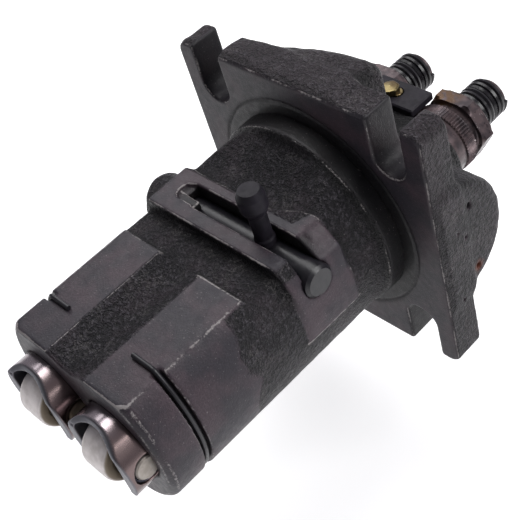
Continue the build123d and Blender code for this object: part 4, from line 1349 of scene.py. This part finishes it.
class ValveHolder:
    """Holder of one delivery valve, with its toothed collar, hexagon and pipe thread."""

    def __init__(self, number: int, axis_x: float, sizes: HolderSizes, body: str) -> None:
        """Keeps which holder it is, its axis and its sizes.

        Args:
            number: Number of the cylinder.
            axis_x: Place of its axis.
            sizes: Sizes of the holder.
            body: Body of the frame that it rides on.
        """
        self.number = number
        self.x = axis_x
        self.s = sizes
        self.body = body

    def _outline(self) -> list[Pair]:
        """Closed profile of the turned form, up the outside and down the bore.

        Returns:
            Radius and height of each ring.
        """
        s = self.s
        c0, c1 = s.collar_y
        h0, h1 = s.hex_y
        flat = s.hex_flats / 2
        core = s.outlet_r - 0.75
        wide, mid, small = s.chamber
        top = s.outlet_y[1]
        outer = [(s.skirt_r, s.skirt_y), (s.skirt_r, 28.4), (s.skirt_r - 1.08, 28.4),
                 (s.skirt_r - 1.08, 30.4), (s.skirt_r, 30.4), (s.skirt_r, s.boss_y - 0.02),
                 (s.barrel_r - 0.15, s.boss_y), (s.barrel_r, s.boss_y + 0.2),
                 (s.barrel_r, c0 - 0.5), (s.collar_r - 0.75, c0), (s.collar_r - 0.55, c0 + 0.1),
                 (s.collar_r - 0.55, c1 - 0.6), (s.collar_r - 1.0, c1 - 0.05),
                 (s.waist_r + 0.15, c1 + 0.1), (s.waist_r, c1 + 0.4), (s.waist_r, h0 - 0.3)]
        hexagon = [(flat - 0.9, h0), (flat + 0.35, h0 + 0.02), (flat + 1.6, h0 + 0.75),
                   (flat + 2.2, h0 + 1.1), (flat + 2.2, h1 - 1.2), (flat + 1.5, h1 - 0.75),
                   (flat + 0.5, h1 - 0.2), (flat - 0.1, h1), (flat - 1.2, h1 + 0.05)]
        outlet = [(core + 0.1, h1 + 0.1), (core, h1 + 0.4), (core, top - 0.5), (core - 0.35, top - 0.05),
                  (core - 0.55, top), (3.75, top), (3.6, top - 0.05)]
        inner = [(small, top - 3.6), (small, 40.0), (mid, 39.0), (mid, 32.0), (wide, 31.0),
                 (wide, s.skirt_y)]
        return outer + hexagon + outlet + inner

    def _hexed(self, angle: Array, radius: float, y: float) -> Array:
        """Radii of one ring: the hexagon's flats cut whatever is wider than they are.

        Args:
            angle: Angles round the ring.
            radius: Radius of the turned form.
            y: Height of the ring.

        Returns:
            One radius per angle.
        """
        s = self.s
        if not s.hex_y[0] - 0.1 < y < s.hex_y[1] + 0.1:
            return np.full(len(angle), radius)
        off = np.mod(angle + math.pi / 6, math.pi / 3) - math.pi / 6
        flats = s.hex_flats / 2 / np.cos(math.pi / 6 - np.abs(off))
        return np.minimum(flats, radius)

    def build(self, dark: Material, thread: Material) -> None:
        """Turns the holder, then adds its teeth and its thread.

        Args:
            dark: Finish of the holder and its teeth.
            thread: Finish of the thread.
        """
        s = self.s
        verts, faces = turn(self.x, s.segments, self._outline(), self._hexed)
        spot = np.array((self.x + s.stain[0], s.stain[1], s.stain[2]), np.float32)
        away = np.linalg.norm((verts - spot) / (1.3, 1.0, 1.0), axis=1) + 9.0 * (self.number - 1)
        main = to_object(f"holder_{self.number}", verts, faces, self.body, dark, 28.0,
                         rusty=1 - ramp(away, s.stain[3] * 0.6, s.stain[3]))
        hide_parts(f"valve_holder_{self.number}")
        self._teeth(dark)
        self._thread(thread)

    def _teeth(self, material: Material) -> None:
        """Teeth round the collar, one prism repeated on a circle.

        Args:
            material: Finish of the teeth.
        """
        s = self.s
        tree = Form("collar_teeth")
        count = tree.size("Teeth", s.teeth)
        radius = tree.size("Circle radius", (s.collar_r - 0.62) * MM)
        depth = tree.size("Tooth depth", s.tooth * MM)
        length = tree.size("Tooth length", (s.collar_y[1] - s.collar_y[0] - 0.75) * MM)
        circle = tree.add("GeometryNodeMeshCircle", {"Vertices": count, "Radius": radius})
        size = tree.add("ShaderNodeCombineXYZ", {"X": depth, "Y": depth, "Z": length})
        tooth = tree.add("GeometryNodeMeshCube", {"Size": size.outputs[0]})
        turned = tree.add("GeometryNodeTransform", {"Geometry": tooth.outputs[0],
                                                   "Rotation": (0.0, 0.0, math.radians(45))})
        place = tree.add("GeometryNodeInputPosition")
        aim = tree.add("FunctionNodeAlignEulerToVector", {"Vector": place.outputs[0]}, axis="X",
                       pivot_axis="Z")
        many = tree.add("GeometryNodeInstanceOnPoints", {
            "Points": circle.outputs[0], "Instance": turned.outputs[0], "Rotation": aim.outputs[0]})
        middle = (s.collar_y[0] + s.collar_y[1] - 0.5) / 2 + 0.1
        tree.bake(f"collar_teeth_{self.number}", many.outputs[0], material, (self.x, middle, 0), self.body)

    def _thread(self, material: Material) -> None:
        """Pipe thread: a ridge swept along a spiral round the outlet.

        Args:
            material: Finish of the thread.
        """
        s = self.s
        low, high = s.outlet_y[0] + 0.2, s.outlet_y[1] - 0.9
        tree = Form("pipe_thread")
        ridge_r = tree.size("Ridge radius", (s.outlet_r - 0.52) * MM)
        height = tree.size("Thread length", (high - low) * MM)
        turns = tree.size("Turns", (high - low) / s.pitch)
        size = tree.size("Ridge size", 0.78 * MM)
        spiral = tree.add("GeometryNodeCurveSpiral", {
            "Resolution": 64, "Rotations": turns, "Start Radius": ridge_r, "End Radius": ridge_r,
            "Height": height})
        profile = tree.add("GeometryNodeCurvePrimitiveCircle", {"Resolution": 6, "Radius": size})
        sweep = tree.add("GeometryNodeCurveToMesh", {
            "Curve": spiral.outputs[0], "Profile Curve": profile.outputs[0], "Fill Caps": True})
        tree.bake(f"pipe_thread_{self.number}", sweep.outputs[0], material, (self.x, low, 0), self.body,
                  50.0)


# ------------------------------------------------------------------ springs
@dataclass(frozen=True)
class Coil:
    """A round-wire coil spring on a pump axis."""

    node: str
    joint: str
    radius: float
    wire: float
    span: Pair
    turns: float
    lift: float
    fixed_top: bool = False
    sides: int = 12
    steps: int = 48
    slack: float = 0.2

    def mesh(self, axis_x: float) -> tuple[Array, list]:
        """Sweeps the wire along its helix and closes both ends.

        Args:
            axis_x: Place of the pump axis.

        Returns:
            Vertices and faces.
        """
        n, count = self.sides, int(self.turns * self.steps) + 1
        angle = np.linspace(0.0, self.turns * 2 * math.pi, count)
        rise = (self.span[1] - self.span[0]) / (self.turns * 2 * math.pi)
        out = np.stack([np.cos(angle), np.zeros(count), -np.sin(angle)], 1)
        along = np.stack([-np.sin(angle) * self.radius, np.full(count, rise),
                          -np.cos(angle) * self.radius], 1)
        up = np.cross(out, along / np.linalg.norm(along, axis=1)[:, None])
        centre = out * self.radius
        centre += np.stack([np.full(count, axis_x), self.span[0] + rise * angle, np.zeros(count)], 1)
        ring = np.linspace(0.0, 2 * math.pi, n, endpoint=False)
        verts = centre[:, None] + self.wire * (out[:, None] * np.cos(ring)[None, :, None]
                                               + up[:, None] * np.sin(ring)[None, :, None])
        faces = [[i * n + k, i * n + (k + 1) % n, (i + 1) * n + (k + 1) % n, (i + 1) * n + k]
                 for i in range(count - 1) for k in range(n)]
        faces.append(list(range(n))[::-1])
        faces.append([(count - 1) * n + k for k in range(n)])
        return verts.reshape(-1, 3), faces

    def build(self, axis_x: float, frame: dict, material: Material) -> None:
        """Makes the coil in place of its node.

        Args:
            axis_x: Place of the pump axis.
            frame: The loaded frame.
            material: Finish of the wire.
        """
        verts, faces = self.mesh(axis_x)
        body = body_of(frame["nodes"][self.node])[0]
        piece = to_object(self.node + "_coil", verts, faces, body, material)
        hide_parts(self.node)
        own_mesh(piece)


# ------------------------------------------------------------------ studio
@dataclass(frozen=True)
class Camera:
    """Place and lens of the camera."""

    azimuth: float = 59.186
    elevation: float = 44.077
    roll: float = -19.809
    target: Triple = (-4.858, -20.75, -4.301)
    distance: float = 292.7
    focal_px: float = 1073.8
    centre_px: Pair = (258.84, 254.86)
    frame_px: int = 520

    def build(self) -> None:
        """Puts the camera in the scene."""
        a, e, roll = (math.radians(v) for v in (self.azimuth, self.elevation, self.roll))
        back = Vector((math.sin(a) * math.cos(e), -math.cos(a) * math.cos(e), math.sin(e)))
        level = Vector((math.cos(a), math.sin(a), 0))
        rise = back.cross(level)
        right = math.cos(roll) * level + math.sin(roll) * rise
        up = -math.sin(roll) * level + math.cos(roll) * rise
        place = (Vector(self.target) + back * self.distance) * MM
        data = bpy.data.cameras.new("camera")
        camera = bpy.data.objects.new("camera", data)
        bpy.context.scene.collection.objects.link(camera)
        camera.matrix_world = Matrix(((right.x, up.x, back.x, place.x),
                                      (right.y, up.y, back.y, place.y),
                                      (right.z, up.z, back.z, place.z), (0, 0, 0, 1)))
        half = self.frame_px / 2
        data.lens = data.sensor_width * self.focal_px / self.frame_px
        data.shift_x = (half - self.centre_px[0]) / self.frame_px
        data.shift_y = (self.centre_px[1] - half) / self.frame_px
        data.clip_start, data.clip_end = 0.01, 10
        bpy.context.scene.camera = camera


@dataclass(frozen=True)
class SoftBox:
    """One soft light, aimed at the middle of the pump."""

    name: str
    place_m: Triple
    size_m: float
    power: float
    aim_m: Triple = (0, -0.02, 0)

    def build(self) -> None:
        """Adds the light."""
        data = bpy.data.lights.new(self.name, "AREA")
        data.energy, data.size = self.power, self.size_m
        lamp = bpy.data.objects.new(self.name, data)
        bpy.context.scene.collection.objects.link(lamp)
        lamp.location = self.place_m
        aim = Vector(self.aim_m) - lamp.location
        lamp.rotation_euler = aim.to_track_quat("-Z", "Y").to_euler()


@dataclass(frozen=True)
class Studio:
    """Pale plain floor, a pale world that dims towards the front, and soft lights."""

    floor_z_m: float = -0.075
    floor_reach_m: float = 60.0
    floor_colour: Triple = (0.9, 0.9, 0.9)
    glow: float = 0.45
    world: Pair = (0.17, 0.58)  # strength towards -Y, strength towards +Y
    fade: Pair = (-0.75, 0.55)  # Y of the directions between which it changes
    tone: Triple = (1.03, 1.0, 1.09)
    exposure: float = -0.2
    lights: tuple[SoftBox, ...] = (
        SoftBox("left_back_box", (-0.42, 0.24, 0.46), 0.40, 1.7),
        SoftBox("right_back_box", (0.46, 0.24, 0.40), 0.36, 3.3),
        SoftBox("top_box", (-0.12, 0.10, 0.60), 0.28, 1.8),
    )

    def build(self) -> None:
        """Sets up the floor, the world and the lights."""
        scene = bpy.context.scene
        scene.view_settings.view_transform = "Standard"
        scene.view_settings.exposure = self.exposure
        self._world(scene)
        mesh = bpy.data.meshes.new("floor")
        corners = [(x * self.floor_reach_m, y * self.floor_reach_m, self.floor_z_m)
                   for x, y in ((-1, -1), (1, -1), (1, 1), (-1, 1))]
        mesh.from_pydata(corners, [], [(0, 1, 2, 3)])
        floor = bpy.data.objects.new("floor", mesh)
        scene.collection.objects.link(floor)
        mesh.materials.append(Finish("pale_floor").finish(
            Base_Color=self.floor_colour, Roughness=0.9, Emission_Color=(1.0, 1.0, 1.0),
            Emission_Strength=self.glow))
        for light in self.lights:
            light.build()

    def _world(self, scene: bpy.types.Scene) -> None:
        """Grades the world by direction, from the front to the back of the pump.

        Args:
            scene: The scene to light.
        """
        scene.world = bpy.data.worlds.new("studio")
        scene.world.use_nodes = True
        g = Graph(scene.world.node_tree)
        parts = g.add("ShaderNodeSeparateXYZ", {0: g.add("ShaderNodeTexCoord").outputs["Generated"]})
        strength = g.add("ShaderNodeMapRange", {
            "Value": parts.outputs["Y"], "From Min": self.fade[0], "From Max": self.fade[1],
            "To Min": self.world[0], "To Max": self.world[1]}, interpolation_type="SMOOTHSTEP")
        background = g.tree.nodes["Background"]
        g.feed(background.inputs[0], self.tone)
        g.feed(background.inputs[1], strength.outputs[0])


# ------------------------------------------------------------------ assembly
STEELS = {
    "pin_end": Steel((0.34, 0.31, 0.28), (0.26, 0.23, 0.20), 0.42, 0.4),
    "bronze_bush": Steel((0.13, 0.10, 0.07), (0.09, 0.07, 0.05), 0.40, 0.6),
    "blackened_steel": Steel((0.007, 0.007, 0.009), (0.011, 0.010, 0.013), 0.34, 0.0),
    "dull_black": Steel((0.010, 0.009, 0.012), (0.016, 0.014, 0.019), 0.45, 0.0, 0.12),
    "black_thread": Steel((0.0035, 0.0035, 0.0045), (0.006, 0.005, 0.007), 0.26, 0.0),
    "plain_steel": Steel((0.45, 0.43, 0.42), (0.36, 0.34, 0.33)),
    "brass": Steel((0.17, 0.135, 0.065), (0.12, 0.085, 0.045)),
}
WORN_BY = {  # the start of the names of the nodes that wear each steel; a later line wins
    "plain_steel": ("tappet_", "valve_", "delivery_", "plunger", "pump_barrel", "timing", "lower_",
                    "upper_", "control_sleeve"),
    "bronze_bush": ("roller_bush", "roller_pin_2"),
    "pin_end": ("roller_pin_1",),
    "blackened_steel": ("control_rack", "guide_pin_clip", "barrel_locating_pins", "holder_o_ring"),
    "dull_black": ("rack_pin", "lock_plate"),
}


def dress(frame: dict, steels: dict[str, Material]) -> None:
    """Gives the pieces that the frame itself shows their finish.

    Args:
        frame: The loaded frame.
        steels: Each steel by its name.
    """
    for steel, starts in WORN_BY.items():
        for name, node in frame["nodes"].items():
            if name.startswith(starts):
                node.data.materials.clear()
                node.data.materials.append(steels[steel])


def element(number: int, axis_x: float, frame: dict, steels: dict[str, Material]) -> None:
    """Builds the tappet, springs and valve holder of one cylinder.

    Args:
        number: Number of the cylinder.
        axis_x: Place of its axis.
        frame: The loaded frame.
        steels: Each finish by its name.
    """
    ValveHolder(number, axis_x, HolderSizes(), "housing").build(steels["holder"], steels["black_thread"])
    Tappet(number, axis_x, TappetSizes(), frame).build(steels["cup"], steels["roller"])
    for coil in (
            Coil(f"plunger_spring_{number}", f"tappet_{number}_lift", 8.15, 1.15, (-68.35, -39.95),
                 turns=5.07, lift=7.0),
            Coil(f"valve_spring_{number}", f"delivery_valve_{number}_lift", 2.9, 0.45, (30.55, 38.35),
                 turns=3.0, lift=1.5, fixed_top=True, sides=8)):
        coil.build(axis_x, frame, steels["plain_steel"])


def main() -> None:
    """Builds the pump, the studio and the camera."""
    logging.basicConfig(level=logging.INFO, format="%(name)s: %(message)s")
    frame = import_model()
    steels = {name: steel.material(name) for name, steel in STEELS.items()}
    steels |= {"holder": HolderSteel().material(), "cup": CupSteel().material(),
               "roller": RollerSteel().material()}
    dress(frame, steels)
    housing = HousingSizes()
    Housing(housing, BlackCasting()).build()
    for number, side in ((1, 1), (2, -1)):
        element(number, side * housing.cylinder_x, frame, steels)
    LockScrew().build(steels["brass"])
    Studio().build()
    Camera().build()
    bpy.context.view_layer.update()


if __name__ == "__main__":
    main()
